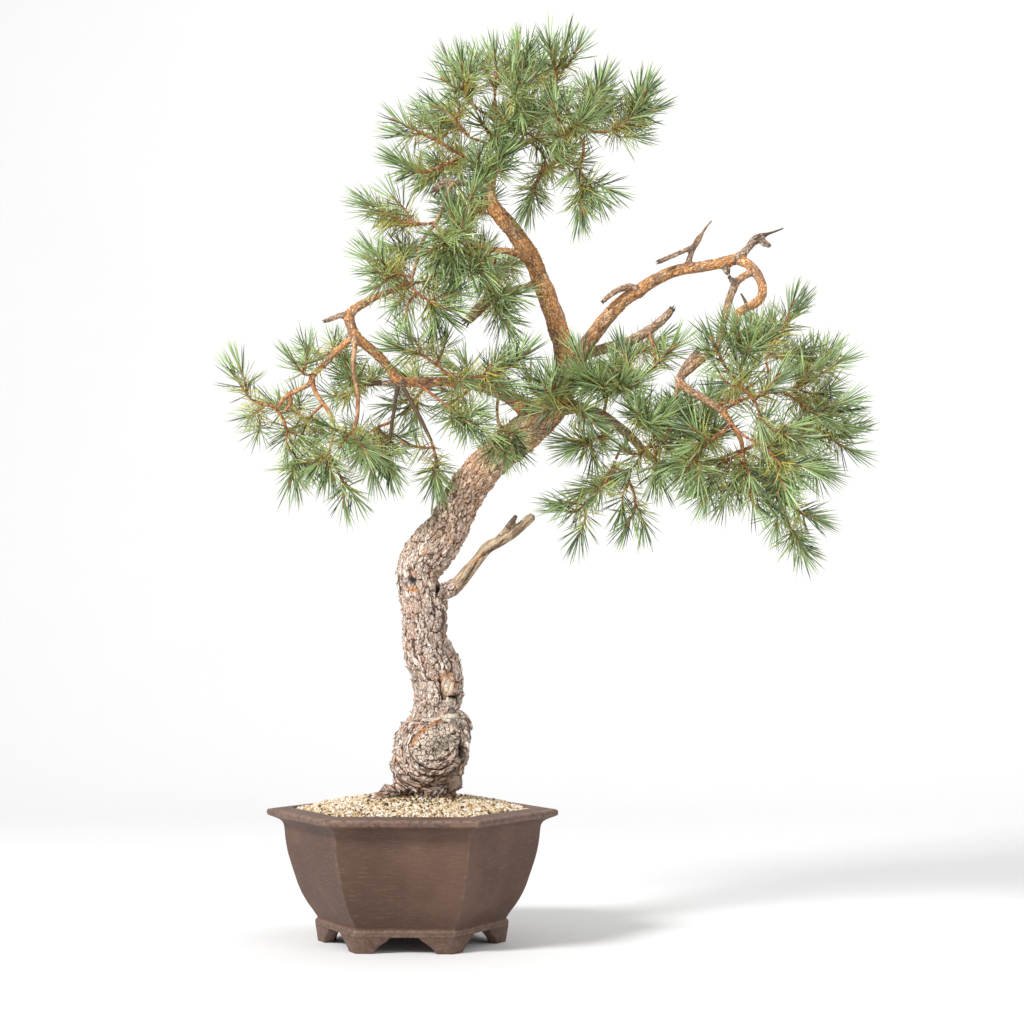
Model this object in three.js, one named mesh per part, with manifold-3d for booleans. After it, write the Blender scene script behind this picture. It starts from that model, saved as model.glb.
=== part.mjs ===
// Scots pine bonsai in a six-sided stoneware pot. Millimetres, +Z up.
//
// The pot stands on the ground plane with its axis on the Z axis while the pieces are made. The whole
// group is then moved so that the middle of its bounding box lies over the origin. The tree's points
// are read in a front elevation, and carry a depth y of their own, away from the viewer.

import * as THREE from 'three';
import { mergeVertices } from 'three/addons/utils/BufferGeometryUtils.js';
import Module from 'manifold-3d';

const wasm = await Module();
wasm.setup();

// Driving dimensions

// The eye that the front elevation is seen from, relative to the pot's axis
const EYE = { x: 119, distance: 2400, z: 366 };

// Pot. Its radii run from the axis to the corners of the hexagon.
const POT = {
  turn: -2,
  rim: 174.5,
  mouth: 146,
  rimTop: 158,
  edgeTop: 155.5,
  edgeBottom: 148,
  neck: 153,
  neckHeight: 133,
  belly: 149,
  bellyHeight: 104,
  waist: 128,
  waistHeight: 50,
  base: 112,
  baseHeight: 28,
  band: 115.5,
  bandHeight: 8.5,
  underside: 18.5,
  floor: 28,
  floorRadius: 104,
  wall: 9,
};
const FOOT = { outer: 115, thickness: 13, topArm: 42, bottomArm: 20, splay: 3, overlap: 3 };
const DRAIN = { radius: 24, sides: 16 };
const SCREEN = { width: 62, thickness: 1.2, openings: 3, bar: 5 };
const GAP = 0.3;

// Soil, heaped up towards the trunk
const SOIL = { edge: 154.5, crown: 18, reach: 146, rings: 8, sectors: 30, grain: 2.1 };
const STEM_HOLE = { x: 14, y: -1, radius: 45, bottom: 128, top: 174, sides: 14 };

// Needles: a whorl of six spikes on each short band of a shoot's three-sided core
const NEEDLE = {
  sides: 3,
  coreStart: 1.8,
  coreEnd: 1.4,
  sunkStart: 0.8,
  band: 2.6,
  spacing: 24,
  oldLength: 27,
  newLength: 45,
  oldAngle: 64,
  newAngle: 34,
  tipAngle: 17,
  halfWidth: 1.0,
  clearance: 0.35,
  shortest: 0.45,
};

const GREENS = [0x5d7f45, 0x55794a, 0x688a4a, 0x4d7048];

// Numbers

function randomStream(seed) {
  let state = seed >>> 0;
  return () => {
    state = (state + 0x6d2b79f5) >>> 0;
    let t = Math.imul(state ^ (state >>> 15), 1 | state);
    t = (t + Math.imul(t ^ (t >>> 7), 61 | t)) ^ t;
    return ((t ^ (t >>> 14)) >>> 0) / 4294967296;
  };
}

const radians = (degrees) => (degrees * Math.PI) / 180;
const mix = (a, b, t) => a + (b - a) * t;

// A point read in the front elevation, carried along its line of sight to the depth y
function seen([x, y, z]) {
  const scale = (EYE.distance + y) / EYE.distance;
  return new THREE.Vector3(EYE.x + (x - EYE.x) * scale, y, EYE.z + (z - EYE.z) * scale);
}

// Solids and meshes

function solidFrom(positions, triangles) {
  return new wasm.Manifold(new wasm.Mesh({
    numProp: 3,
    vertProperties: Float32Array.from(positions),
    triVerts: Uint32Array.from(triangles),
  }));
}

function solidOf(geometry) {
  const bare = geometry.clone();
  bare.deleteAttribute('normal');
  bare.deleteAttribute('uv');
  const merged = mergeVertices(bare, 1e-4);
  const kept = [];
  const index = merged.index.array;
  for (let i = 0; i < index.length; i += 3) {
    const [a, b, c] = [index[i], index[i + 1], index[i + 2]];
    if (a !== b && b !== c && c !== a) kept.push(a, b, c);
  }
  return solidFrom(merged.attributes.position.array, kept);
}

function geometryOf(solid) {
  const mesh = solid.getMesh();
  const geometry = new THREE.BufferGeometry();
  geometry.setAttribute('position', new THREE.BufferAttribute(Float32Array.from(mesh.vertProperties), 3));
  geometry.setIndex(new THREE.BufferAttribute(Uint32Array.from(mesh.triVerts), 1));
  geometry.computeVertexNormals();
  return geometry;
}

function boxSolid(low, high) {
  const size = high.map((value, i) => value - low[i]);
  return wasm.Manifold.cube(size).translate(low);
}

const joined = (solids) => solids.reduce((whole, solid) => whole.add(solid));

// The largest body of a solid, without loose scraps
function mainBody(solid) {
  const bodies = solid.decompose();
  return bodies.reduce((best, body) => (body.volume() > best.volume() ? body : best));
}

// Frames that follow a curve without twisting. The first one can be set square to a given direction.
function framesAlong(points, startDirection) {
  const tangents = points.map((point, i) => {
    if (i === 0 && startDirection) return startDirection;
    const before = points[Math.max(i - 1, 0)];
    const after = points[Math.min(i + 1, points.length - 1)];
    return after.clone().sub(before).normalize();
  });
  const start = Math.abs(tangents[0].z) < 0.9 ? new THREE.Vector3(0, 0, 1) : new THREE.Vector3(1, 0, 0);
  let side = start.clone().addScaledVector(tangents[0], -start.dot(tangents[0])).normalize();
  return points.map((point, i) => {
    side = side.clone().addScaledVector(tangents[i], -side.dot(tangents[i])).normalize();
    return { point, tangent: tangents[i], side, up: tangents[i].clone().cross(side) };
  });
}

function aroundFrame(frame, angle, radius) {
  return frame.point.clone()
    .addScaledVector(frame.side, Math.cos(angle) * radius)
    .addScaledVector(frame.up, Math.sin(angle) * radius);
}

// Points and radii at equal steps along a bough's centre line
function sampledBough(points, step) {
  const curve = new THREE.CatmullRomCurve3(points.map(seen), false, 'centripetal');
  const radii = points.map((point) => point[3]);
  const count = Math.max(2, Math.round(curve.getLength() / step));
  const samples = [];
  for (let i = 0; i <= count; i += 1) {
    const t = i / count;
    const place = t * (points.length - 1);
    const low = Math.min(Math.floor(place), points.length - 2);
    samples.push({ point: curve.getPoint(t), radius: mix(radii[low], radii[low + 1], place - low) });
  }
  return samples;
}

// A closed tube with ragged bark: each corner is pushed in or out by the rough share of the radius
function barkTube(samples, sides, rough, random) {
  const frames = framesAlong(samples.map((sample) => sample.point));
  const positions = [];
  const triangles = [];
  const last = frames.length - 1;
  frames.forEach((frame, i) => {
    const plain = i === 0 || i === last;
    for (let k = 0; k < sides; k += 1) {
      const push = plain ? 1 : 1 + rough * (2 * random() - 1);
      const angle = (2 * Math.PI * (k + (i % 2) / 2)) / sides;
      positions.push(...aroundFrame(frame, angle, samples[i].radius * push).toArray());
    }
  });
  for (let i = 0; i < last; i += 1) {
    for (let k = 0; k < sides; k += 1) {
      const next = (k + 1) % sides;
      const [a, b] = [i * sides + k, i * sides + next];
      const [c, d] = [(i + 1) * sides + k, (i + 1) * sides + next];
      if (i % 2 === 0) triangles.push(a, b, c, b, d, c);
      else triangles.push(a, b, d, a, d, c);
    }
  }
  const startCentre = positions.length / 3;
  positions.push(...frames[0].point.toArray(), ...frames[last].point.toArray());
  for (let k = 0; k < sides; k += 1) {
    const next = (k + 1) % sides;
    triangles.push(startCentre, next, k);
    triangles.push(startCentre + 1, last * sides + k, last * sides + next);
  }
  return solidFrom(positions, triangles);
}

function meshOf(name, solid, colour, roughness) {
  const material = new THREE.MeshStandardMaterial({ color: colour, roughness, metalness: 0 });
  material.flatShading = true;
  const mesh = new THREE.Mesh(geometryOf(solid), material);
  mesh.name = name;
  return mesh;
}

// Pot: matte brown stoneware, a hexagon with a wide flat lip, a band at the base and a foot per corner

function hexagonLathe(profile) {
  const outline = profile.map(([radius, height]) => new THREE.Vector2(radius, height));
  const geometry = new THREE.LatheGeometry(outline, 6);
  geometry.rotateX(Math.PI / 2);
  geometry.rotateZ(radians(30 + POT.turn));
  return geometry;
}

function potInnerProfile() {
  return [
    [POT.mouth, POT.rimTop],
    [POT.mouth - 1, POT.rimTop - 8],
    [POT.belly - POT.wall, POT.bellyHeight],
    [POT.waist - POT.wall, POT.waistHeight + 8],
    [POT.floorRadius, POT.floor],
  ];
}

function footSolid(corner) {
  const angle = radians(60 * corner + POT.turn);
  const outwards = new THREE.Vector2(Math.cos(angle), Math.sin(angle));
  const arms = [120, -120].map((turn) => outwards.clone().rotateAround(new THREE.Vector2(), radians(turn)));
  const section = (radius, arm, height) => {
    const tip = outwards.clone().multiplyScalar(radius);
    const inner = outwards.clone().multiplyScalar(radius - FOOT.thickness / Math.cos(radians(30)));
    const ring = [tip];
    const [left, right] = arms;
    ring.push(tip.clone().addScaledVector(left, arm));
    ring.push(inner.clone().addScaledVector(left, arm - FOOT.thickness * Math.tan(radians(30))));
    ring.push(inner);
    ring.push(inner.clone().addScaledVector(right, arm - FOOT.thickness * Math.tan(radians(30))));
    ring.push(tip.clone().addScaledVector(right, arm));
    return ring.flatMap(({ x, y }) => [x, y, height]);
  };
  const bottom = section(FOOT.outer - FOOT.splay, FOOT.bottomArm, 0);
  const top = section(FOOT.outer, FOOT.topArm, POT.underside + FOOT.overlap);
  const triangles = [0, 2, 1, 0, 3, 2, 0, 4, 3, 0, 5, 4];
  triangles.push(...[6, 7, 8, 6, 8, 9, 6, 9, 10, 6, 10, 11]);
  for (let k = 0; k < 6; k += 1) {
    const next = (k + 1) % 6;
    triangles.push(k, next, 6 + next, k, 6 + next, 6 + k);
  }
  return solidFrom([...bottom, ...top], triangles);
}

function drainHole(radius, low, high) {
  const hole = new THREE.CylinderGeometry(radius, radius, high - low, DRAIN.sides);
  hole.rotateX(Math.PI / 2);
  hole.translate(0, 0, (low + high) / 2);
  return solidOf(hole);
}

function pot() {
  const outer = [
    [0, POT.underside],
    [POT.band - 3, POT.underside],
    [POT.band, POT.underside + 3],
    [POT.band, POT.underside + POT.bandHeight - 3],
    [POT.base + 1, POT.underside + POT.bandHeight - 0.5],
    [POT.base + 1.5, POT.baseHeight + 2],
    [mix(POT.base, POT.waist, 0.56), mix(POT.baseHeight, POT.waistHeight, 0.45)],
    [POT.waist, POT.waistHeight],
    [140, 77],
    [POT.belly, POT.bellyHeight],
    [POT.neck - 1, POT.neckHeight - 14],
    [POT.neck, POT.neckHeight],
    [POT.neck + 5, POT.neckHeight + 7],
    [POT.rim - 11, POT.edgeBottom - 3],
    [POT.rim - 2.5, POT.edgeBottom],
    [POT.rim, POT.edgeBottom + 2.5],
    [POT.rim, POT.edgeTop - 2],
    [POT.rim - 2, POT.edgeTop],
  ];
  const profile = [...outer, ...potInnerProfile(), [0, POT.floor]];
  let body = solidOf(hexagonLathe(profile));
  for (let corner = 0; corner < 6; corner += 1) body = body.add(footSolid(corner));
  body = body.subtract(drainHole(DRAIN.radius, POT.underside - 5, POT.floor + 5));
  return meshOf('pot', body, 0x6b5548, 0.8);
}

// Drainage screen: a square plastic mesh that lies on the floor over the hole

function drainageScreen() {
  const low = POT.floor + GAP;
  const high = low + SCREEN.thickness;
  const half = SCREEN.width / 2;
  let plate = boxSolid([-half, -half, low], [half, half, high]);
  const pitch = (SCREEN.width - SCREEN.bar) / SCREEN.openings;
  const size = pitch - SCREEN.bar;
  for (let column = 0; column < SCREEN.openings; column += 1) {
    for (let row = 0; row < SCREEN.openings; row += 1) {
      const [x, y] = [-half + SCREEN.bar + column * pitch, -half + SCREEN.bar + row * pitch];
      plate = plate.subtract(boxSolid([x, y, low - 1], [x + size, y + size, high + 1]));
    }
  }
  return meshOf('drainage_screen', plate, 0x2f3330, 0.7);
}

// Soil: gravel that fills the pot, with a grained surface and a plain hole for the stem

function stemHole(extra) {
  const height = POT.rimTop + 60 - STEM_HOLE.bottom;
  const { radius, sides } = STEM_HOLE;
  const plug = new THREE.CylinderGeometry(radius + extra, radius + extra, height, sides);
  plug.rotateX(Math.PI / 2);
  plug.translate(STEM_HOLE.x, STEM_HOLE.y, STEM_HOLE.bottom - extra + height / 2);
  return solidOf(plug);
}

function soil() {
  const random = randomStream(41);
  const positions = [];
  const triangles = [];
  const { sectors, rings } = SOIL;
  const clearance = GAP / Math.cos(radians(30));
  const hexagon = (radius, angle) => {
    const local = angle - radians(POT.turn);
    const folded = ((local % radians(60)) + radians(60)) % radians(60);
    return (radius * Math.cos(radians(30))) / Math.cos(folded - radians(30));
  };
  const addRing = (radius, height, grain) => {
    for (let k = 0; k < sectors; k += 1) {
      const angle = radians(POT.turn) + (2 * Math.PI * k) / sectors;
      const reach = hexagon(radius, angle);
      const rise = typeof height === 'function' ? height(reach) : height;
      positions.push(reach * Math.cos(angle), reach * Math.sin(angle), rise + grain * (2 * random() - 1));
    }
  };
  const heap = (reach) => SOIL.edge + SOIL.crown * (1 - (reach / SOIL.reach) ** 2.2);
  const inner = potInnerProfile();
  const floorHeight = POT.floor + GAP + SCREEN.thickness + GAP;
  const [, , belly, waist] = inner;
  positions.push(0, 0, floorHeight);
  const floorShare = (floorHeight - POT.floor) / (waist[1] - POT.floor);
  addRing(mix(POT.floorRadius, waist[0], floorShare) - clearance * 2, floorHeight, 0);
  addRing(waist[0] - clearance, waist[1], 0);
  addRing(belly[0] - clearance, belly[1], 0);
  addRing(POT.mouth - 1 - clearance * 2, SOIL.edge - 4, 0);
  for (let ring = 0; ring < rings; ring += 1) {
    const share = 1 - ring / rings;
    const radius = (POT.mouth - 4) * share;
    addRing(radius, heap, ring === 0 ? SOIL.grain * 0.6 : SOIL.grain);
  }
  positions.push(0, 0, SOIL.edge + SOIL.crown);
  const ringCount = 4 + rings;
  const at = (ring, k) => 1 + ring * sectors + (k % sectors);
  for (let k = 0; k < sectors; k += 1) {
    triangles.push(0, at(0, k + 1), at(0, k));
    for (let ring = 0; ring < ringCount - 1; ring += 1) {
      const [a, b, c, d] = [at(ring, k), at(ring, k + 1), at(ring + 1, k), at(ring + 1, k + 1)];
      if ((k + ring) % 2) triangles.push(a, b, d, a, d, c);
      else triangles.push(a, b, c, b, d, c);
    }
    triangles.push(positions.length / 3 - 1, at(ringCount - 1, k), at(ringCount - 1, k + 1));
  }
  const body = solidFrom(positions, triangles).subtract(stemHole(GAP));
  return meshOf('soil', mainBody(body), 0xcdb994, 0.95);
}

// Tree: one grown piece, from the stump in the soil to the twigs. Each bough is [x, y, z, radius].

const TRUNK = [
  [19, -2, 163, 30], [20, -2, 176, 32], [18, -2, 184, 34], [16, -3, 194, 37.5], [18, -4, 204, 41.5], [20, -6, 215, 43.5],
  [22.5, -7, 227, 44.5], [24, -7, 239, 44], [28, -5, 249, 40.5], [32, -2, 257, 34.5], [31, 0, 264, 31],
  [28.5, 2, 272, 28], [29, 3, 279, 28], [31, 4, 287, 29.5], [31.5, 5, 298, 30], [30, 5, 312, 29.5],
  [26, 4, 325, 30], [20, 2, 339, 29], [15, 0, 354, 27], [14, 0, 369, 26], [15, 0, 385, 26.5],
  [13, -2, 401, 27], [9, -3, 416, 25], [6, -3, 431, 23.5], [9, -2, 447, 26], [19, 0, 461, 29],
  [32, 3, 477, 27], [43, 5, 492, 24.5], [49, 6, 507, 23.5], [57, 7, 523, 23], [68, 8, 541, 23],
  [84, 9, 562, 22], [104, 10, 582, 22], [127, 10, 600, 22], [149, 10, 619, 21], [166, 10, 635, 19],
];

const BOUGHS = {
  coil: [[-19, -4, 207, 8], [-12, -24, 201, 11], [6, -37, 199, 12.5], [28, -43, 204, 12.5],
    [47, -37, 216, 12], [59, -21, 234, 10.5], [60, -8, 251, 9]],
  fold: [[-16, -4, 229, 6], [-13, -21, 240, 7], [2, -36, 250, 7], [20, -36, 259, 7], [36, -28, 266, 6]],
  scar: [[5, -36, 225, 10], [25, -42, 235, 14], [45, -34, 246, 10]],
  lobe: [[42, 2, 270, 13], [46, -4, 285, 15], [47, -3, 300, 15], [42, 2, 316, 12]],
  knot: [[34, -10, 192, 15], [45, -20, 187, 12.5], [50, -24, 186, 11]],
  root: [[2, -16, 190, 15], [-16, -22, 184, 10], [-31, -24, 180.5, 7], [-45, -25, 178, 4.5]],
  jin: [[16, -4, 404, 15], [30, -9, 411, 12], [41, -12, 416, 10.5], [54, -15, 424, 9],
    [68, -16, 441, 8], [79, -17, 454, 6.9], [89, -17, 467, 7.4], [104, -16, 475, 6.9],
    [119, -14, 484, 6.4], [130, -12, 493, 6], [140, -10, 502, 6], [144, -10, 505, 5]],
  jin_spur: [[104, -14, 478, 5], [112, -16, 488, 4.6], [119, -18, 498, 3.8], [124, -20, 506, 2.2]],
  leader: [[160, 10, 629, 19], [177, 10, 650, 16.5], [186, 11, 674, 14], [186, 12, 695, 13],
    [181, 14, 714, 12.5], [175, 16, 730, 12.5], [171, 18, 746, 13], [165, 20, 761, 12.5],
    [160, 20, 776, 13], [153, 20, 792, 12], [148, 19, 807, 11.5], [140, 17, 823, 12.5],
    [130, 15, 838, 12], [119, 12, 854, 11.5], [105, 8, 870, 11], [94, 5, 886, 9], [92, 4, 902, 7.6],
    [94, 4, 920, 7], [101, 4, 938, 6.4], [105, 5, 955, 5.4], [103, 6, 975, 4.8], [101, 8, 992, 4],
    [98, 10, 1010, 3]],
  leader_stub: [[153, 20, 788, 6], [136, 16, 784, 4.6], [118, 10, 779, 4.6], [101, 5, 771, 6.4],
    [86, 2, 762, 8.2], [73, 0, 749, 8.5], [62, -2, 740, 6], [56, -3, 735, 3.5]],
  dead_pole: [[180, 16, 652, 5], [177, 27, 672, 4], [174, 32, 692, 3.8], [172, 33, 710, 3.4],
    [171, 33, 724, 2.5]],
  front_twig: [[140, 16, 814, 6], [130, -6, 822, 5], [119, -22, 826, 4.4], [102, -30, 828, 4],
    [86, -34, 830, 3.5], [72, -36, 834, 2.8]],
  crown_limb: [[102, 4, 945, 6], [122, 2, 956, 5.5], [143, -2, 963, 5], [160, -6, 969, 4.5],
    [178, -10, 973, 4], [200, -12, 974, 3.4], [222, -12, 973, 2.6]],
  pale_branch: [[92, 5, 895, 5], [79, -8, 904, 4.6], [64, -24, 909, 4], [48, -34, 909, 4],
    [42, -37, 900, 3.7], [38, -37, 888, 3.7], [33, -36, 874, 3.7], [26, -35, 861, 3.7],
    [15, -35, 847, 3.5], [9, -34, 835, 3.5], [6, -33, 822, 3.4], [1, -32, 806, 3.2],
    [-2, -31, 795, 3], [-2, -30, 784, 2.6]],
  pale_side: [[25, -35, 859, 3.4], [33, -38, 852, 3.4], [43, -42, 847, 2.8]],
  dark_stub: [[52, -32, 909, 4.5], [42, -28, 911, 5], [32, -26, 907, 6], [26, -25, 901, 4.5]],
  left_bough: [[148, 14, 620, 14], [126, 26, 642, 10.5], [104, 34, 655, 9.5], [78, 34, 663, 8.5],
    [50, 27, 667, 8], [22, 16, 668, 7.5], [-4, 6, 667, 7.5], [-18, 0, 670, 8], [-28, -6, 683, 7.5],
    [-42, -14, 699, 7.5], [-56, -22, 711, 7.5], [-69, -28, 722, 8], [-75, -30, 734, 7.8],
    [-78, -31, 746, 7.4], [-73, -31, 755, 6.6], [-62, -30, 762, 6.2], [-50, -28, 769, 5.6],
    [-36, -24, 775, 5], [-20, -18, 781, 4], [-7, -12, 790, 2.8]],
  left_stub: [[-77, -31, 750, 5], [-90, -33, 748, 3.8], [-99, -34, 744.5, 3.5], [-106, -34, 742, 3.2]],
  left_twig: [[-72, -29, 725, 6], [-84, -34, 713, 5.2], [-96, -36, 702, 4.8], [-106, -36, 690, 4.5],
    [-117, -34, 680, 4.2], [-124, -32, 671, 3.6]],
  left_outer: [[-121, -33, 675, 3.6], [-126, -31, 665, 3.4], [-136, -29, 659, 3.2],
    [-149, -26, 653, 3], [-158, -22, 645, 2.8], [-163, -20, 637, 2.4]],
  left_curl: [[-149, -26, 653, 2.6], [-148, -24, 641, 2.3], [-155, -24, 633, 1.8]],
  left_inner: [[-122, -32, 674, 3.2], [-120, -30, 660, 2.8], [-113, -30, 647, 2.6],
    [-104, -32, 635, 2.4], [-97, -35, 620, 2.2], [-97, -37, 604, 2.1], [-100, -38, 589, 1.8]],
  left_middle: [[-72, -28, 724, 5], [-71, -42, 708, 3.5], [-73, -50, 690, 3.3], [-71, -54, 672, 3.2],
    [-67, -56, 655, 3.2], [-67, -58, 640, 3.2], [-68, -60, 622, 2.9], [-72, -64, 610, 2.3]],
  left_low: [[-14, 0, 668, 5], [-32, 4, 666, 3.8], [-46, 6, 666, 3.2], [-56, 6, 664, 2.4]],
  left_down: [[-17, 0, 672, 5], [-21, -6, 650, 3.4], [-23, -10, 634, 3], [-26, -14, 616, 2.7],
    [-28, -18, 600, 2.5], [-34, -24, 590, 2.1]],
  left_right: [[-18, 0, 670, 5], [-8, -6, 653, 3.8], [1, -10, 637, 3.5], [9, -14, 623, 3.1],
    [16, -16, 608, 2.7], [22, -18, 596, 2.1]],
  right_bough: [[163, 10, 632, 14], [188, 9, 637, 11], [208, 8, 634, 9.5], [229, 5, 626, 8.5],
    [245, 2, 615, 8], [263, 0, 600, 7], [280, -5, 582, 6], [292, -5, 572, 5], [312, 5, 566, 4.2],
    [335, 20, 562, 3.6], [358, 35, 556, 2.8]],
  high_bough: [[182, 11, 664, 12], [200, 12, 700, 11.5], [221, 14, 729, 11.5], [234, 16, 746, 11],
    [251, 17, 764, 10.3], [271, 17, 778, 9.6], [295, 15, 793, 9.2], [318, 13, 803, 8.8],
    [343, 10, 807, 8.4], [366, 6, 811, 8.2], [386, 3, 816, 8.4], [398, 0, 820, 7.5]],
  high_tip: [[393, 0, 817, 6.5], [404, 0, 830, 4.6], [412, 0, 839, 5.2], [420, 0, 844, 5],
    [429, 0, 848, 2.8], [438, 0, 851, 1.8], [448, 0, 855, 1.3]],
  high_knob: [[417, 0, 842, 4], [423, -3, 838, 4.6], [430, -5, 834, 3.8]],
  loop_outer: [[392, 1, 817, 7.5], [405, -8, 811, 7.2], [415, -16, 800, 7], [421, -22, 788, 6.6],
    [422, -28, 775, 6.6], [415, -34, 764, 6.6], [403, -40, 758, 6.2], [393, -46, 751, 5.6],
    [388, -54, 738, 5], [391, -62, 720, 4], [397, -70, 702, 2.6]],
  loop_inner: [[412, -14, 802, 5], [401, -16, 797, 5.2], [392, -18, 790, 5.2], [386, -20, 779, 5.2],
    [381, -24, 765, 5.2], [378, -28, 752, 5.2], [374, -33, 737, 5.2], [371, -38, 722, 5.4],
    [366, -42, 709, 5.6], [352, -48, 698, 6.2], [334, -60, 683, 6.4], [320, -71, 670, 6.6],
    [331, -76, 659, 6.4], [350, -78, 647, 5.8], [368, -77, 636, 5.4], [376, -76, 630, 4.6]],
  loop_stub: [[389, -19, 785, 4.4], [386, -22, 791, 4.2], [383, -24, 794, 3]],
  loop_spur: [[405, -38, 757, 3], [400, -34, 768, 1.7], [396, -33, 775, 1.1]],
  high_left: [[274, 17, 775, 6], [266, 12, 782, 4.7], [258, 8, 783, 4.2], [245, 4, 778, 3.9],
    [236, 2, 772, 3.6], [230, 0, 766, 3]],
  high_twig: [[330, 12, 803, 5], [334, 10, 818, 3.4], [338, 8, 829, 3.4], [342, 6, 836, 3.8],
    [346, 5, 843, 3.8], [350, 5, 849, 1.8], [355, 4, 857, 1.4], [361, 3, 864, 1]],
  high_side: [[341, 7, 834, 3.2], [328, 4, 827.5, 3.2], [312, 0, 820.5, 3.2], [298, -4, 814.5, 3.6]],
  broken_bough: [[184, 11, 684, 11], [206, 22, 700, 9.2], [224, 25, 706, 8.8], [259, 24, 716, 8.4],
    [281, 22, 728, 8.4], [300, 20, 742, 7.5], [311, 18, 754, 6]],
  elbow_stub: [[322, -68, 674, 5], [328, -58, 686, 4.6], [336, -52, 696, 4.5], [343, -48, 705, 3.6]],
  elbow_twig: [[320, -71, 670, 3.8], [317, -70, 650, 2.8], [314, -66, 632, 2.8], [310, -62, 614, 2.6],
    [304, -58, 596, 2]],
  right_low_twig: [[374, -76, 631, 4.6], [385, -74, 614, 3.6], [394, -69, 599, 3], [397, -66, 585, 2.3]],
};

// Sprays. Each starts at the end of a bough, or of a bare woody twig that leaves a bough's centre line.
// Its first shoot begins there, and the others begin on an earlier shoot.

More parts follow.
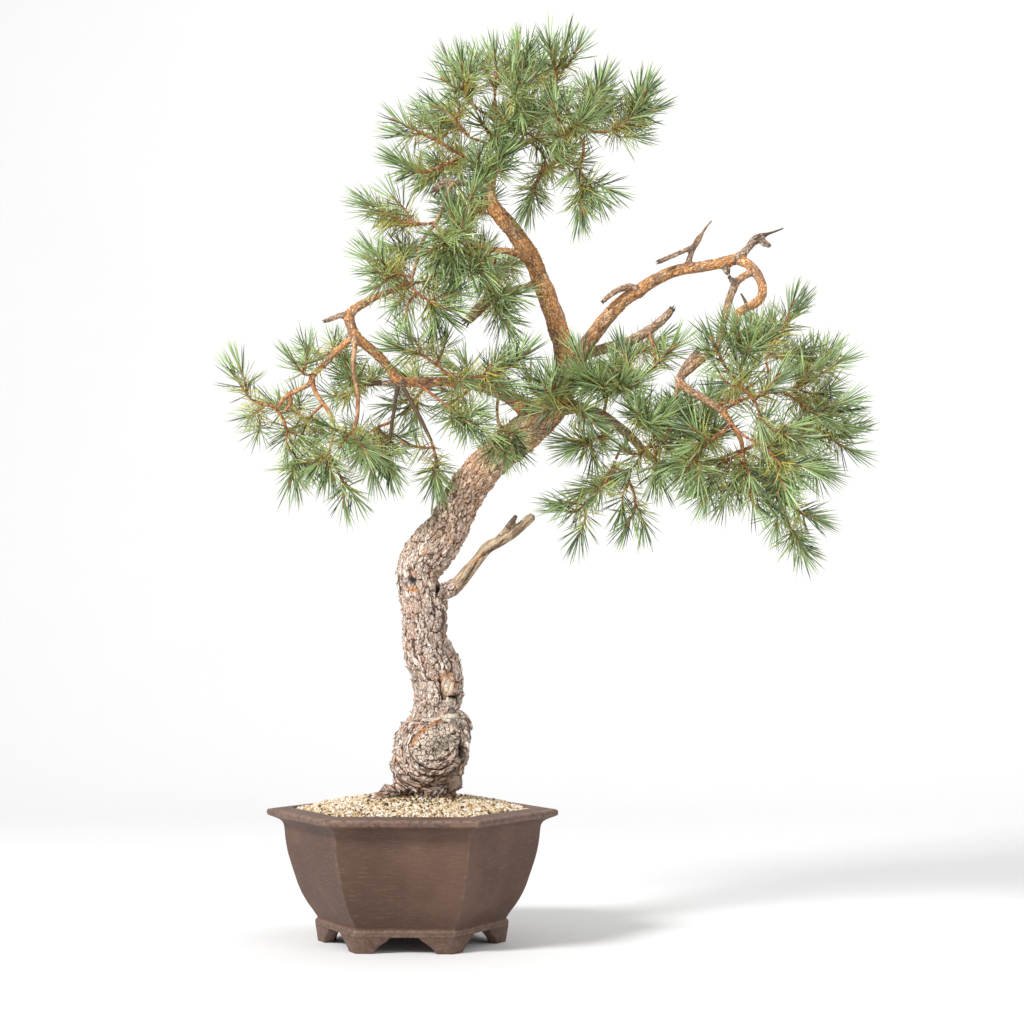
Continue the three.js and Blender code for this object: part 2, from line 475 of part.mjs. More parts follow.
const SPRAYS = {
  crown_left: {
    twig: [[93, 4, 915], [80, -4, 929], [66, -9, 940]],
    shoots: [
      [[65, -9, 941], [40, -14, 955], [20, -16, 966], [0, -18, 976], [-17, -20, 985]],
      [[60, -10, 944], [40, -18, 934], [20, -24, 925], [10, -26, 923], [-1, -28, 928], [-12, -31, 934]],
      [[62, -10, 943], [52, 14, 936], [38, 42, 928], [22, 70, 920]],
    ],
  },
  crown_middle: {
    twig: [[103, 5, 950], [86, -8, 960], [68, -18, 966]],
    shoots: [
      [[67, -19, 967], [58, -22, 978], [50, -25, 989], [42, -28, 997], [30, -30, 1003]],
      [[60, -21, 975], [50, 8, 980], [34, 36, 986], [16, 62, 990]],
    ],
  },
  crown_upper: {
    twig: [[103, 6, 980], [91, -10, 993], [79, -22, 1000]],
    shoots: [
      [[78, -23, 1001], [66, -27, 1012], [61, -30, 1024], [60, -33, 1040], [58, -35, 1054]],
      [[61, -30, 1025], [50, -34, 1028], [41, -38, 1034]],
      [[70, -26, 1008], [66, 0, 1024], [58, 26, 1040], [50, 46, 1050]],
    ],
  },
  crown_top: {
    twig: [[99, 9, 1004], [98, 11, 1016]],
    shoots: [
      [[98, 11, 1017], [99, 12, 1034], [100, 12, 1050], [98, 12, 1066]],
      [[98, 12, 1026], [88, 26, 1046], [76, 38, 1064]],
      [[99, 12, 1030], [112, 34, 1046], [124, 54, 1060]],
    ],
  },
  crown_face_top: {
    twig: [[103, 6, 972], [110, -18, 988], [116, -36, 1004]],
    shoots: [
      [[117, -38, 1006], [124, -42, 1024], [128, -44, 1046], [127, -48, 1074]],
      [[120, -40, 1015], [122, -66, 1014], [123, -88, 1020]],
    ],
  },
  crown_top_right: {
    twig: [[148, -3, 965], [160, -16, 990], [169, -24, 1012]],
    shoots: [
      [[170, -25, 1014], [173, -30, 1036], [177, -36, 1056], [183, -42, 1077]],
      [[173, -30, 1034], [172, -42, 1050], [170, -52, 1066]],
      [[171, -26, 1018], [158, 4, 1032], [148, 30, 1048]],
    ],
  },
  crown_face: {
    twig: [[170, -9, 971], [180, -28, 966], [187, -46, 963]],
    shoots: [
      [[187, -47, 963], [182, -75, 976], [175, -98, 990], [170, -114, 1004]],
      [[184, -62, 970], [198, -78, 984], [208, -90, 998]],
    ],
  },
  crown_right: {
    twig: [[186, -11, 973], [195, -15, 979]],
    shoots: [
      [[196, -15, 980], [207, -20, 994], [215, -24, 1008], [223, -27, 1021], [228, -30, 1031]],
      [[207, -20, 994], [216, 2, 1004], [222, 28, 1012], [224, 50, 1018]],
      [[202, -18, 988], [208, 12, 984], [218, 40, 990], [230, 66, 1000]],
    ],
  },
  crown_far_right: {
    bough: 'crown_limb',
    shoots: [
      [[223, -12, 973], [240, -12, 975], [256, -14, 983], [268, -17, 991], [279, -20, 995], [288, -24, 999]],
      [[262, -15, 987], [269, -14, 1002], [274, -14, 1020]],
      [[246, -12, 977], [258, 14, 984], [268, 36, 992]],
    ],
  },
  crown_hang_right: {
    twig: [[192, -12, 974], [205, -20, 962], [206, -26, 952]],
    shoots: [
      [[206, -27, 951], [203, -32, 934], [201, -38, 916], [203, -44, 900], [205, -48, 881]],
      [[203, -36, 922], [214, -26, 908], [222, -18, 896]],
    ],
  },
  crown_hang_left: {
    twig: [[140, -2, 962], [154, -12, 950], [160, -16, 940]],
    shoots: [
      [[160, -17, 938], [152, -20, 918], [145, -24, 904], [142, -26, 894], [140, -30, 884]],
      [[158, -18, 932], [164, 8, 930], [166, 36, 928], [164, 60, 926]],
      [[164, 10, 930], [178, 20, 942], [190, 34, 950]],
    ],
  },
  crown_heart: {
    twig: [[93, 4, 912], [88, -16, 914], [83, -34, 916]],
    shoots: [
      [[82, -36, 916], [79, -56, 922], [76, -74, 932]],
      [[82, -40, 917], [96, -56, 930], [106, -70, 944]],
    ],
  },
  crown_behind: {
    twig: [[103, 6, 968], [110, 22, 972], [114, 36, 976]],
    shoots: [
      [[114, 37, 977], [126, 60, 990], [134, 84, 1006]],
      [[118, 44, 981], [104, 70, 990], [94, 96, 1000]],
      [[122, 52, 985], [146, 70, 988], [166, 88, 996]],
    ],
  },
  crown_low_back: {
    twig: [[104, 8, 870], [96, 26, 872], [88, 38, 874]],
    shoots: [
      [[87, 39, 874], [66, 50, 878], [44, 60, 886]],
      [[82, 42, 875], [86, 70, 882], [94, 96, 892]],
      [[78, 44, 876], [64, 76, 868], [50, 102, 862]],
    ],
  },
  shelf_outer: {
    twig: [[27, -35, 863], [17, -33, 860]],
    shoots: [
      [[16, -33, 860], [0, -30, 861], [-20, -28, 866], [-33, -27, 873], [-42, -26, 880], [-51, -26, 884]],
      [[6, -31, 860], [-6, -8, 858], [-20, 16, 860], [-34, 36, 864]],
    ],
  },
  shelf_left: {
    twig: [[-2, -31, 796], [-8, -32, 797]],
    shoots: [
      [[-9, -32, 797], [-26, -32, 801], [-40, -31, 808], [-53, -30, 817]],
      [[-20, -32, 799], [-32, -46, 792], [-42, -58, 784]],
      [[-14, -32, 798], [-22, -4, 806], [-30, 22, 816]],
    ],
  },
  shelf_low: {
    bough: 'pale_branch',
    shoots: [
      [[-1, -30, 781], [8, -36, 773], [20, -42, 766], [32, -46, 759], [43, -50, 757]],
      [[4, -33, 776], [-6, -40, 764], [-9, -46, 750]],
      [[18, -41, 767], [24, -36, 754], [26, -32, 742]],
    ],
  },
  shelf_face: {
    bough: 'pale_side',
    shoots: [
      [[45, -43, 846], [50, -56, 836], [53, -70, 822]],
      [[47, -48, 842], [34, -62, 834], [22, -74, 828]],
    ],
  },
  shelf_front: {
    bough: 'front_twig',
    shoots: [
      [[71, -36, 834], [62, -40, 826], [54, -44, 812], [48, -48, 798]],
      [[63, -40, 827], [74, -56, 816], [82, -70, 802]],
      [[66, -38, 830], [62, -50, 850], [64, -58, 874], [68, -68, 889], [72, -80, 901]],
    ],
  },
  shelf_inner: {
    twig: [[104, -29, 828], [100, -14, 820], [98, -2, 812]],
    shoots: [
      [[98, -1, 811], [92, 14, 800], [88, 30, 788]],
      [[96, 4, 808], [84, 30, 820], [72, 54, 832]],
      [[95, 6, 806], [106, 34, 806], [114, 62, 810]],
    ],
  },
  leader_low: {
    twig: [[112, 8, 777], [102, -2, 788], [92, -11, 792]],
    shoots: [
      [[91, -12, 791], [92, -18, 778], [95, -24, 765], [101, -28, 752], [110, -32, 742]],
      [[92, -18, 778], [104, -32, 776], [116, -44, 770]],
    ],
  },
  shelf_back: {
    twig: [[9, -34, 835], [8, -18, 832], [6, -4, 830]],
    shoots: [
      [[6, -3, 830], [-6, 20, 828], [-20, 42, 832]],
      [[3, 3, 829], [18, 26, 820], [34, 48, 814]],
    ],
  },
  shelf_tip: {
    twig: [[-20, -18, 781], [-10, -8, 786], [-2, 2, 788]],
    shoots: [
      [[-1, 3, 788], [14, 18, 790], [30, 30, 798]],
      [[2, 6, 789], [-8, 34, 782], [-18, 60, 780]],
    ],
  },
  left_outer_spray: {
    bough: 'left_outer',
    shoots: [
      [[-164, -20, 636], [-182, -20, 641], [-196, -20, 647], [-206, -20, 660], [-214, -21, 673]],
      [[-168, -20, 637], [-158, -17, 624], [-152, -16, 608], [-146, -16, 590], [-142, -17, 570],
        [-147, -20, 551]],
      [[-178, -20, 640], [-188, 2, 632], [-198, 24, 626]],
    ],
  },
  left_top: {
    twig: [[-120, -33, 676], [-130, -33, 676]],
    shoots: [
      [[-131, -33, 676], [-137, -36, 682], [-143, -38, 690]],
      [[-135, -35, 680], [-129, -46, 690], [-128, -54, 702]],
    ],
  },
  left_face: {
    bough: 'left_low',
    shoots: [
      [[-57, 6, 664], [-66, 0, 667], [-74, -8, 671], [-77, -22, 673]],
      [[-62, 3, 665], [-72, 32, 656], [-84, 58, 648]],
      [[-64, 10, 663], [-54, 38, 668], [-50, 64, 676]],
    ],
  },
  left_front: {
    bough: 'left_middle',
    shoots: [
      [[-72, -65, 609], [-79, -80, 602], [-86, -98, 592]],
      [[-75, -71, 606], [-66, -84, 596], [-58, -96, 584]],
    ],
  },
  left_hang: {
    bough: 'left_inner',
    shoots: [
      [[-100, -38, 588], [-102, -42, 572], [-97, -46, 556]],
      [[-101, -40, 580], [-92, -32, 562], [-84, -28, 544], [-83, -26, 524]],
      [[-100, -39, 584], [-112, -26, 572], [-122, -14, 560]],
    ],
  },
  left_fringe: {
    bough: 'left_down',
    shoots: [
      [[-36, -25, 590], [-48, -30, 591], [-62, -34, 590]],
      [[-46, -29, 591], [-50, -34, 578], [-48, -38, 562]],
      [[-38, -26, 590], [-32, -38, 576], [-27, -48, 562]],
    ],
  },
  left_behind: {
    twig: [[-80, -32, 718], [-90, -12, 710], [-94, 4, 706]],
    shoots: [
      [[-94, 5, 706], [-97, 20, 708], [-96, 36, 716]],
      [[-96, 10, 706], [-112, 26, 696], [-128, 42, 692]],
      [[-96, 16, 707], [-82, 38, 694], [-72, 58, 684]],
    ],
  },
  left_back: {
    twig: [[-25, -13, 620], [-34, 6, 616], [-40, 22, 614]],
    shoots: [
      [[-40, 23, 614], [-56, 44, 604], [-72, 64, 594]],
      [[-44, 28, 612], [-32, 52, 600], [-20, 74, 590]],
      [[-42, 26, 613], [-44, 28, 596], [-48, 30, 576]],
    ],
  },
  left_middle_spray: {
    twig: [[-108, -31, 641], [-116, -18, 634], [-122, -8, 628]],
    shoots: [
      [[-122, -7, 628], [-130, 10, 614], [-136, 26, 598]],
      [[-124, -3, 625], [-116, 24, 620], [-112, 50, 612]],
      [[-127, 3, 620], [-140, 26, 630], [-154, 46, 640]],
    ],
  },
  centre_top: {
    twig: [[48, 26, 667], [44, 4, 674], [42, -16, 676]],
    shoots: [
      [[42, -18, 676], [26, -24, 690], [10, -29, 700], [-4, -34, 705], [-15, -38, 709]],
      [[40, -19, 678], [58, -28, 674], [80, -34, 674], [104, -38, 680], [120, -42, 689], [133, -46, 700]],
      [[28, -23, 688], [34, -10, 702], [38, 0, 714]],
    ],
  },
  centre_front: {
    twig: [[2, 8, 667], [18, -24, 656], [36, -50, 642]],
    shoots: [
      [[37, -52, 641], [52, -78, 630], [65, -106, 619]],
      [[49, -73, 632], [68, -86, 620], [84, -98, 610]],
    ],
  },
  centre_hang: {
    bough: 'left_right',
    shoots: [
      [[22, -18, 595], [27, -22, 578], [30, -28, 562], [32, -34, 548]],
      [[24, -20, 588], [8, -26, 588], [-6, -30, 592]],
    ],
  },
  centre_low: {
    twig: [[104, 34, 655], [101, 0, 638], [102, -30, 618]],
    shoots: [
      [[103, -32, 617], [112, -52, 608], [122, -74, 605]],
      [[106, -38, 614], [100, -58, 598], [96, -74, 586]],
    ],
  },
  centre_dark: {
    twig: [[210, 8, 633], [206, -14, 640], [196, -30, 641]],
    shoots: [
      [[195, -31, 641], [180, -38, 640], [165, -42, 644], [152, -42, 650], [144, -42, 659], [140, -44, 670]],
      [[178, -39, 640], [172, -50, 656], [168, -60, 670]],
      [[190, -34, 641], [202, -48, 628], [214, -60, 620]],
    ],
  },
  centre_curve: {
    twig: [[284, 22, 730], [291, 0, 705], [292, -20, 686]],
    shoots: [
      [[292, -21, 685], [280, -26, 678], [260, -28, 672], [242, -32, 667], [226, -36, 665],
        [213, -42, 670], [206, -48, 680], [203, -54, 693]],
      [[262, -28, 673], [258, -16, 690], [252, -6, 706]],
      [[284, -24, 680], [298, -34, 694], [310, -44, 706]],
    ],
  },
  centre_back: {
    twig: [[96, 34, 658], [90, 50, 662], [84, 62, 664]],
    shoots: [
      [[84, 63, 664], [68, 80, 674], [50, 96, 684]],
      [[81, 66, 666], [94, 92, 676], [104, 116, 686]],
      [[80, 68, 667], [60, 84, 652], [44, 100, 640]],
    ],
  },
  centre_back_left: {
    twig: [[30, 20, 668], [24, 40, 664], [18, 54, 660]],
    shoots: [
      [[18, 55, 660], [4, 74, 668], [-12, 92, 676]],
      [[14, 60, 662], [2, 78, 646], [-10, 94, 632]],
    ],
  },
  broken_back: {
    twig: [[252, 25, 714], [256, 42, 706], [258, 56, 700]],
    shoots: [
      [[258, 57, 700], [244, 76, 690], [230, 94, 682]],
      [[256, 60, 698], [274, 80, 704], [290, 100, 708]],
    ],
  },
  under_left: {
    twig: [[245, 2, 615], [237, 8, 604]],
    shoots: [
      [[236, 9, 603], [222, 8, 600], [212, 9, 597], [200, 10, 595], [190, 12, 597]],
      [[212, 9, 600], [214, 4, 588], [218, 0, 577]],
      [[224, 8, 601], [226, 32, 598], [228, 56, 594]],
    ],
  },
  under_low: {
    twig: [[262, 0, 601], [250, -6, 586], [244, -8, 574]],
    shoots: [
      [[243, -8, 572], [238, -10, 556], [228, -13, 542], [215, -16, 528], [203, -18, 516], [192, -20, 510],
        [183, -22, 512]],
      [[241, -9, 566], [255, -6, 556], [263, -6, 540], [267, -8, 526], [266, -10, 512], [258, -12, 496]],
      [[240, -10, 560], [232, 14, 552], [226, 38, 544]],
    ],
  },
  under_right: {
    twig: [[288, -5, 575], [296, -18, 584], [297, -28, 590]],
    shoots: [
      [[296, -29, 590], [284, -34, 588], [274, -38, 582], [264, -44, 580], [256, -50, 585]],
      [[290, -32, 590], [292, -44, 572], [290, -54, 549]],
    ],
  },
  under_face: {
    twig: [[263, 0, 600], [266, -24, 610], [268, -38, 614]],
    shoots: [
      [[268, -40, 615], [270, -58, 622], [271, -80, 630]],
      [[269, -48, 618], [288, -58, 624], [304, -66, 632]],
    ],
  },
  elbow_spray: {
    twig: [[382, -75, 619], [380, -82, 611]],
    shoots: [
      [[379, -83, 610], [364, -86, 601], [350, -88, 589], [340, -90, 576], [332, -92, 565], [324, -94, 556]],
      [[356, -87, 595], [346, -98, 604], [336, -108, 612]],
    ],
  },
  right_hang: {
    bough: 'right_low_twig',
    shoots: [
      [[397, -66, 584], [399, -68, 564], [402, -72, 545], [406, -76, 528], [413, -82, 516]],
      [[397, -66, 580], [380, -68, 574], [368, -70, 567], [361, -72, 554], [357, -75, 541], [352, -80, 528]],
      [[398, -67, 572], [390, -48, 556], [382, -32, 540], [374, -18, 524]],
    ],
  },
  right_heart: {
    twig: [[385, -74, 614], [396, -86, 604], [404, -92, 599]],
    shoots: [
      [[405, -93, 598], [420, -96, 592], [432, -99, 580], [440, -101, 571], [448, -104, 563], [460, -108, 555]],
      [[424, -97, 588], [438, -88, 592], [452, -78, 590]],
    ],
  },
  right_upper: {
    twig: [[364, -77, 639], [388, -80, 645], [402, -84, 648], [406, -92, 651]],
    shoots: [
      [[406, -94, 652], [399, -101, 658], [386, -104, 673], [375, -104, 689], [368, -109, 703], [362, -114, 716]],
      [[402, -98, 656], [414, -98, 640], [421, -98, 621], [434, -104, 610], [448, -109, 604], [464, -114, 600]],
      [[409, -91, 644], [424, -100, 656], [436, -108, 670]],
    ],
  },
  right_out: {
    twig: [[372, -76, 633], [398, -64, 646], [424, -46, 653], [440, -34, 655]],
    shoots: [
      [[441, -33, 655], [470, -30, 664], [490, -28, 676], [502, -26, 684], [513, -26, 692]],
      [[447, -33, 656], [462, -38, 645], [480, -42, 635], [492, -44, 629], [503, -45, 628], [516, -46, 632]],
      [[466, -30, 663], [472, -8, 676], [478, 14, 692], [484, 32, 708]],
      [[456, -31, 659], [468, -6, 650], [482, 18, 644], [494, 40, 642]],
    ],
  },
  right_rise: {
    twig: [[424, -46, 653], [429, -40, 675], [426, -35, 692]],
    shoots: [
      [[426, -34, 694], [433, -34, 712], [445, -36, 728], [461, -40, 751]],
      [[429, -34, 702], [446, -20, 698], [464, -8, 704]],
      [[432, -34, 709], [426, -8, 722], [420, 18, 736]],
    ],
  },
  loop_end: {
    bough: 'loop_outer',
    shoots: [
      [[398, -71, 700], [404, -84, 708], [404, -98, 724]],
      [[400, -75, 702], [388, -88, 712], [378, -98, 726]],
    ],
  },
  right_far: {
    twig: [[335, 20, 562], [372, 32, 576], [410, 26, 590], [440, 12, 598], [458, 2, 600]],
    shoots: [
      [[459, 1, 600], [484, -4, 608], [500, -4, 605], [511, -2, 601], [526, 0, 606]],
      [[461, 0, 600], [468, -12, 588], [474, -18, 574], [481, -22, 564], [492, -26, 559]],
      [[470, -2, 603], [476, 24, 614], [484, 52, 624]],
    ],
  },
  right_low: {
    twig: [[356, 34, 556], [390, 16, 556], [420, -4, 547]],
    shoots: [
      [[421, -5, 546], [434, -18, 534], [440, -30, 523], [446, -36, 511], [451, -38, 498], [454, -40, 486],
        [456, -43, 476], [465, -46, 468]],
      [[436, -22, 530], [452, -10, 520], [464, 0, 510], [477, 6, 506]],
      [[426, -10, 542], [434, -44, 540], [438, -78, 534]],
    ],
  },
  right_back: {
    twig: [[312, 5, 566], [332, 32, 590], [350, 56, 612]],
    shoots: [
      [[351, 57, 613], [362, 76, 634], [372, 94, 656]],
      [[354, 62, 619], [336, 82, 628], [318, 100, 640]],
      [[357, 67, 624], [378, 72, 646], [398, 68, 668], [412, 60, 690]],
    ],
  },
  right_back_low: {
    twig: [[358, 35, 556], [376, 56, 570], [392, 72, 580]],
    shoots: [
      [[393, 73, 581], [412, 84, 592], [434, 94, 604]],
      [[396, 75, 583], [402, 96, 566], [408, 114, 550]],
      [[398, 76, 584], [420, 74, 572], [440, 70, 558]],
    ],
  },
};

// Segments of wood and needles that a new needle stays clear of

const woodSegments = [];
const coreSegments = [];
const needleSegments = [];

function addSegments(list, samples, owner) {
  for (let i = 0; i < samples.length - 1; i += 1) {
    const [a, b] = [samples[i], samples[i + 1]];
    list.push({ a: a.point, b: b.point, ra: a.radius, rb: b.radius, owner });
  }
}

const between = { u: new THREE.Vector3(), v: new THREE.Vector3(), w: new THREE.Vector3() };

// Smallest room between two tapering segments: their distance less both radii where they come nearest
function roomBetween(p, q) {
  const u = between.u.subVectors(p.b, p.a);
  const v = between.v.subVectors(q.b, q.a);
  const w = between.w.subVectors(p.a, q.a);
  const [a, b, c] = [u.dot(u), u.dot(v), v.dot(v)];
  const [d, e] = [u.dot(w), v.dot(w)];
  const clamp = (value) => Math.min(1, Math.max(0, value));
  const parallel = a * c - b * b;
  let s = parallel > 1e-9 ? clamp((b * e - c * d) / parallel) : 0;
  const t = clamp((b * s + e) / c);
  s = clamp((b * t - d) / a);
  const nearest = w.addScaledVector(u, s).addScaledVector(v, -t).length();
  return nearest - mix(p.ra, p.rb, s) - mix(q.ra, q.rb, t);
}

function farApart(p, q) {
  const reachP = (p.length ?? p.a.distanceTo(p.b)) / 2 + p.ra;
  const reachQ = (q.length ?? q.a.distanceTo(q.b)) / 2 + q.ra;
  const dx = (p.a.x + p.b.x - q.a.x - q.b.x) / 2;
  const dy = (p.a.y + p.b.y - q.a.y - q.b.y) / 2;
  const dz = (p.a.z + p.b.z - q.a.z - q.b.z) / 2;
  const reach = reachP + reachQ + 1;
  return dx * dx + dy * dy + dz * dz > reach * reach;
}

function roomInList(segment, list, skip) {
  let room = Infinity;
  for (const other of list) {
    if (skip(other) || farApart(segment, other)) continue;
    room = Math.min(room, roomBetween(segment, other));
    if (room < NEEDLE.clearance) return room;
  }
  return room;
}

// A needle's direction and length that clear everything, or null where there is no room
function placedNeedle(base, frame, angle, lean, length, shoot) {
  const turns = [0, 0.18, -0.18, 0.36, -0.36];
  const leans = [0, -0.14, 0.16, -0.26];
  const shares = [1, 0.86, 0.72, 0.58, NEEDLE.shortest];
  const makeSegment = (turn, extra, share) => {
    const outwards = frame.side.clone().multiplyScalar(Math.cos(angle + turn))
      .addScaledVector(frame.up, Math.sin(angle + turn));
    const slope = Math.max(0.12, lean + extra);
    const direction = frame.tangent.clone().multiplyScalar(Math.cos(slope))
      .addScaledVector(outwards, Math.sin(slope));
    const tip = base.clone().addScaledVector(direction, length * share);
    const start = base.clone().addScaledVector(direction, 4);
    return { a: start, b: tip, ra: NEEDLE.halfWidth, rb: 0.05, length: length * share - 4, owner: shoot };
  };
  for (const share of shares) {
    for (const extra of leans) {
      for (const turn of turns) {
        const segment = makeSegment(turn, extra, share);
        const nearBase = (other) => other.owner === shoot && other.a.distanceTo(base) < 9;
        if (roomInList(segment, woodSegments, () => false) < NEEDLE.clearance) continue;
        if (roomInList(segment, coreSegments, nearBase) < NEEDLE.clearance) continue;
        if (roomInList(segment, needleSegments, () => false) < NEEDLE.clearance) continue;
        return segment;
      }
    }
  }
  return null;
}

// Where the rings of a shoot's core lie: short bands that carry needles, plain bands between them
function ringPlan(length, sunk) {
  const first = sunk ? 9 : 6;
  const last = length - NEEDLE.band - 1.5;
  const whorls = Math.max(2, Math.round((last - first) / NEEDLE.spacing));
  const rings = [{ at: 0 }];
  for (let i = 0; i < whorls; i += 1) {
    const at = mix(first, last, (i / (whorls - 1)) ** 0.9);
    rings.push({ at, whorl: true }, { at: at + NEEDLE.band });
  }
  return rings;
}

// One shoot: a slim core with a whorl of needles on each short band and a few more at the tip
function draftShoot(points, owner, startDirection, random) {
  const sunk = !startDirection;
  const curve = new THREE.CatmullRomCurve3(points, false, 'centripetal');
  const length = curve.getLength();
  const rings = ringPlan(length, sunk);
  const places = rings.map((ring) => curve.getPointAt(Math.min(1, ring.at / length)));
  const tip = curve.getPointAt(1);
  const frames = framesAlong([...places, tip], startDirection);
  const samples = frames.map((frame, i) => ({
    point: frame.point,
    radius: mix(NEEDLE.coreStart, NEEDLE.coreEnd, i / frames.length),
  }));
  if (sunk) samples[0].radius = NEEDLE.sunkStart;
  const { sides } = NEEDLE;
  const twist = random() * Math.PI;
  const positions = [];
  const triangles = [];
  places.forEach((place, i) => {
    for (let k = 0; k < sides; k += 1) {
      const angle = twist + (2 * Math.PI * (k + i / 2)) / sides + 0.12 * i;
      positions.push(...aroundFrame(frames[i], angle, samples[i].radius).toArray());
    }
  });
  const corner = (i) => new THREE.Vector3(positions[3 * i], positions[3 * i + 1], positions[3 * i + 2]);
  const spikes = [];
  const facet = (a, b, c, ring, atTip) => {
    if (ring === null) {
      triangles.push(a, b, c);
      return;
    }
    const base = corner(a).add(corner(b)).add(corner(c)).divideScalar(3);
    const frame = frames[ring];
    const offset = base.clone().sub(frame.point);
    const angle = Math.atan2(offset.dot(frame.up), offset.dot(frame.side));
    const along = frames[ring].point.distanceTo(frames[0].point) / length;
    const share = Math.min(1, rings[Math.min(ring, rings.length - 1)].at / length);
    const lean = atTip ? radians(NEEDLE.tipAngle)
      : radians(mix(NEEDLE.oldAngle, NEEDLE.newAngle, share ** 1.5) + 8 * (random() - 0.5));
    const reach = mix(NEEDLE.oldLength, NEEDLE.newLength, Math.min(1, along ** 0.8 + 0.05))
      * (0.9 + 0.14 * random());
    spikes.push({ a, b, c, base, frame, angle, lean, reach });
  };
  for (let i = 0; i < places.length - 1; i += 1) {
    const ring = rings[i].whorl ? i : null;
    for (let k = 0; k < sides; k += 1) {
      const next = (k + 1) % sides;
      const [a, b] = [i * sides + k, i * sides + next];
      const [c, d] = [(i + 1) * sides + k, (i + 1) * sides + next];
      facet(a, b, c, ring, false);
      facet(b, d, c, ring, false);
    }
  }
  const bud = positions.length / 3;
  positions.push(...tip.clone().addScaledVector(frames[frames.length - 1].tangent, 1.5).toArray());
  const lastRing = places.length - 1;
  for (let k = 0; k < sides; k += 1) {
    const next = (k + 1) % sides;
    facet(lastRing * sides + k, lastRing * sides + next, bud, lastRing, true);
  }
  for (let k = 1; k < sides - 1; k += 1) triangles.push(0, k + 1, k);
  return { positions, triangles, spikes, samples, owner };
}

function grownShoot(draft) {
  const { positions, triangles, spikes, owner } = draft;
  for (const { a, b, c, base, frame, angle, lean, reach } of spikes) {
    const needle = placedNeedle(base, frame, angle, lean, reach, owner);
    if (!needle) {
      triangles.push(a, b, c);
      continue;
    }
    needleSegments.push(needle);
    const apex = positions.length / 3;
    positions.push(...needle.b.toArray());
    triangles.push(a, b, apex, b, c, apex, c, a, apex);
  }
  return solidFrom(positions, triangles);
}

// Wood

const WOOD = { trunkStep: 24, trunkSides: 10, rough: 0.06, twigStep: 21, fineness: 0.6 };
const TWIG = { start: 3.1, end: 2.2, step: 30, sides: 3 };

function woodSamples(points, step) {
  const samples = sampledBough(points, step);
  addSegments(woodSegments, samples.map((s) => ({ point: s.point, radius: s.radius * 1.1 })), 'wood');
  return samples;
}

function tree() {
  const random = randomStream(7);
  const solids = [stemHole(0).intersect(boxSolid([-90, -90, 0], [110, 90, STEM_HOLE.top]))];
  solids.push(barkTube(woodSamples(TRUNK, WOOD.trunkStep), WOOD.trunkSides, 0.075, random));
  for (const [name, points] of Object.entries(BOUGHS)) {
    const thickest = Math.max(...points.map((point) => point[3]));
    const sides = thickest > 9 ? 6 : thickest > 6.5 ? 5 : 4;
    const step = Math.max(WOOD.twigStep, thickest * 1.9);
    solids.push(barkTube(woodSamples(points, step), sides, WOOD.rough, random));
  }
  const boughs = joined(solids).simplify(WOOD.fineness);
  const twigs = Object.values(SPRAYS).filter(({ twig }) => twig).map(({ twig }) => {
    const last = twig.length - 1;
    const points = twig.map((point, i) => [...point, mix(TWIG.start, TWIG.end, i / last)]);
    return barkTube(woodSamples(points, TWIG.step), TWIG.sides, 0.03, random);
  });
  return meshOf('tree', mainBody(joined([boughs, ...twigs])), 0x8a6a50, 0.9);
}

// Each spray's first shoot starts a small gap beyond the end of its twig or bough, and square to it
function beyondTwig({ twig, bough }) {
  const samples = sampledBough((twig ?? BOUGHS[bough]).map((point) => [...point, 0]), TWIG.step);
  const [before, end] = samples.slice(-2).map(({ point }) => point);
  const direction = end.clone().sub(before).normalize();
  return { point: end.clone().addScaledVector(direction, 1.5 * GAP), direction };
}

// The other shoots start on the centre line of an earlier one
function nearestOnCores(point, earlier) {
  const nearest = new THREE.Vector3();
  let best = null;
  for (const { samples } of earlier) {
    for (let i = 0; i < samples.length - 1; i += 1) {
      new THREE.Line3(samples[i].point, samples[i + 1].point).closestPointToPoint(point, true, nearest);
      if (!best || nearest.distanceTo(point) < best.distanceTo(point)) best = nearest.clone();
    }
  }
  return best;
}

function sprays() {
  const drafts = [];
  Object.entries(SPRAYS).forEach(([name, spray], order) => {
    const random = randomStream(100 + order);
    const group = [];
    spray.shoots.forEach((read, i) => {
      const owner = `${name}_${i}`;
      const points = read.map(seen);
      const seat = i > 0 ? { point: nearestOnCores(points[0], group) } : beyondTwig(spray);
      points[0] = seat.point;
      const draft = draftShoot(points, owner, seat.direction, random);
      addSegments(coreSegments, draft.samples, owner);
      group.push(draft);
    });
    drafts.push({ name, group, colour: GREENS[order % GREENS.length] });
  });
  return drafts.map(({ name, group, colour }) => {
    const solids = group.map(grownShoot);
    return meshOf(`needles_${name}`, mainBody(joined(solids)), colour, 0.6);
  });
}

// The whole object

const group = new THREE.Group();
group.add(pot(), drainageScreen(), soil(), tree(), ...sprays());
const box = new THREE.Box3().setFromObject(group);
const middle = box.getCenter(new THREE.Vector3());
group.position.set(-middle.x, -middle.y, -box.min.z);
group.updateMatrixWorld(true);

export default group;
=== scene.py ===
"""Scots pine bonsai in a six-sided stoneware pot. Metres, Z up, the front faces -Y."""

import math

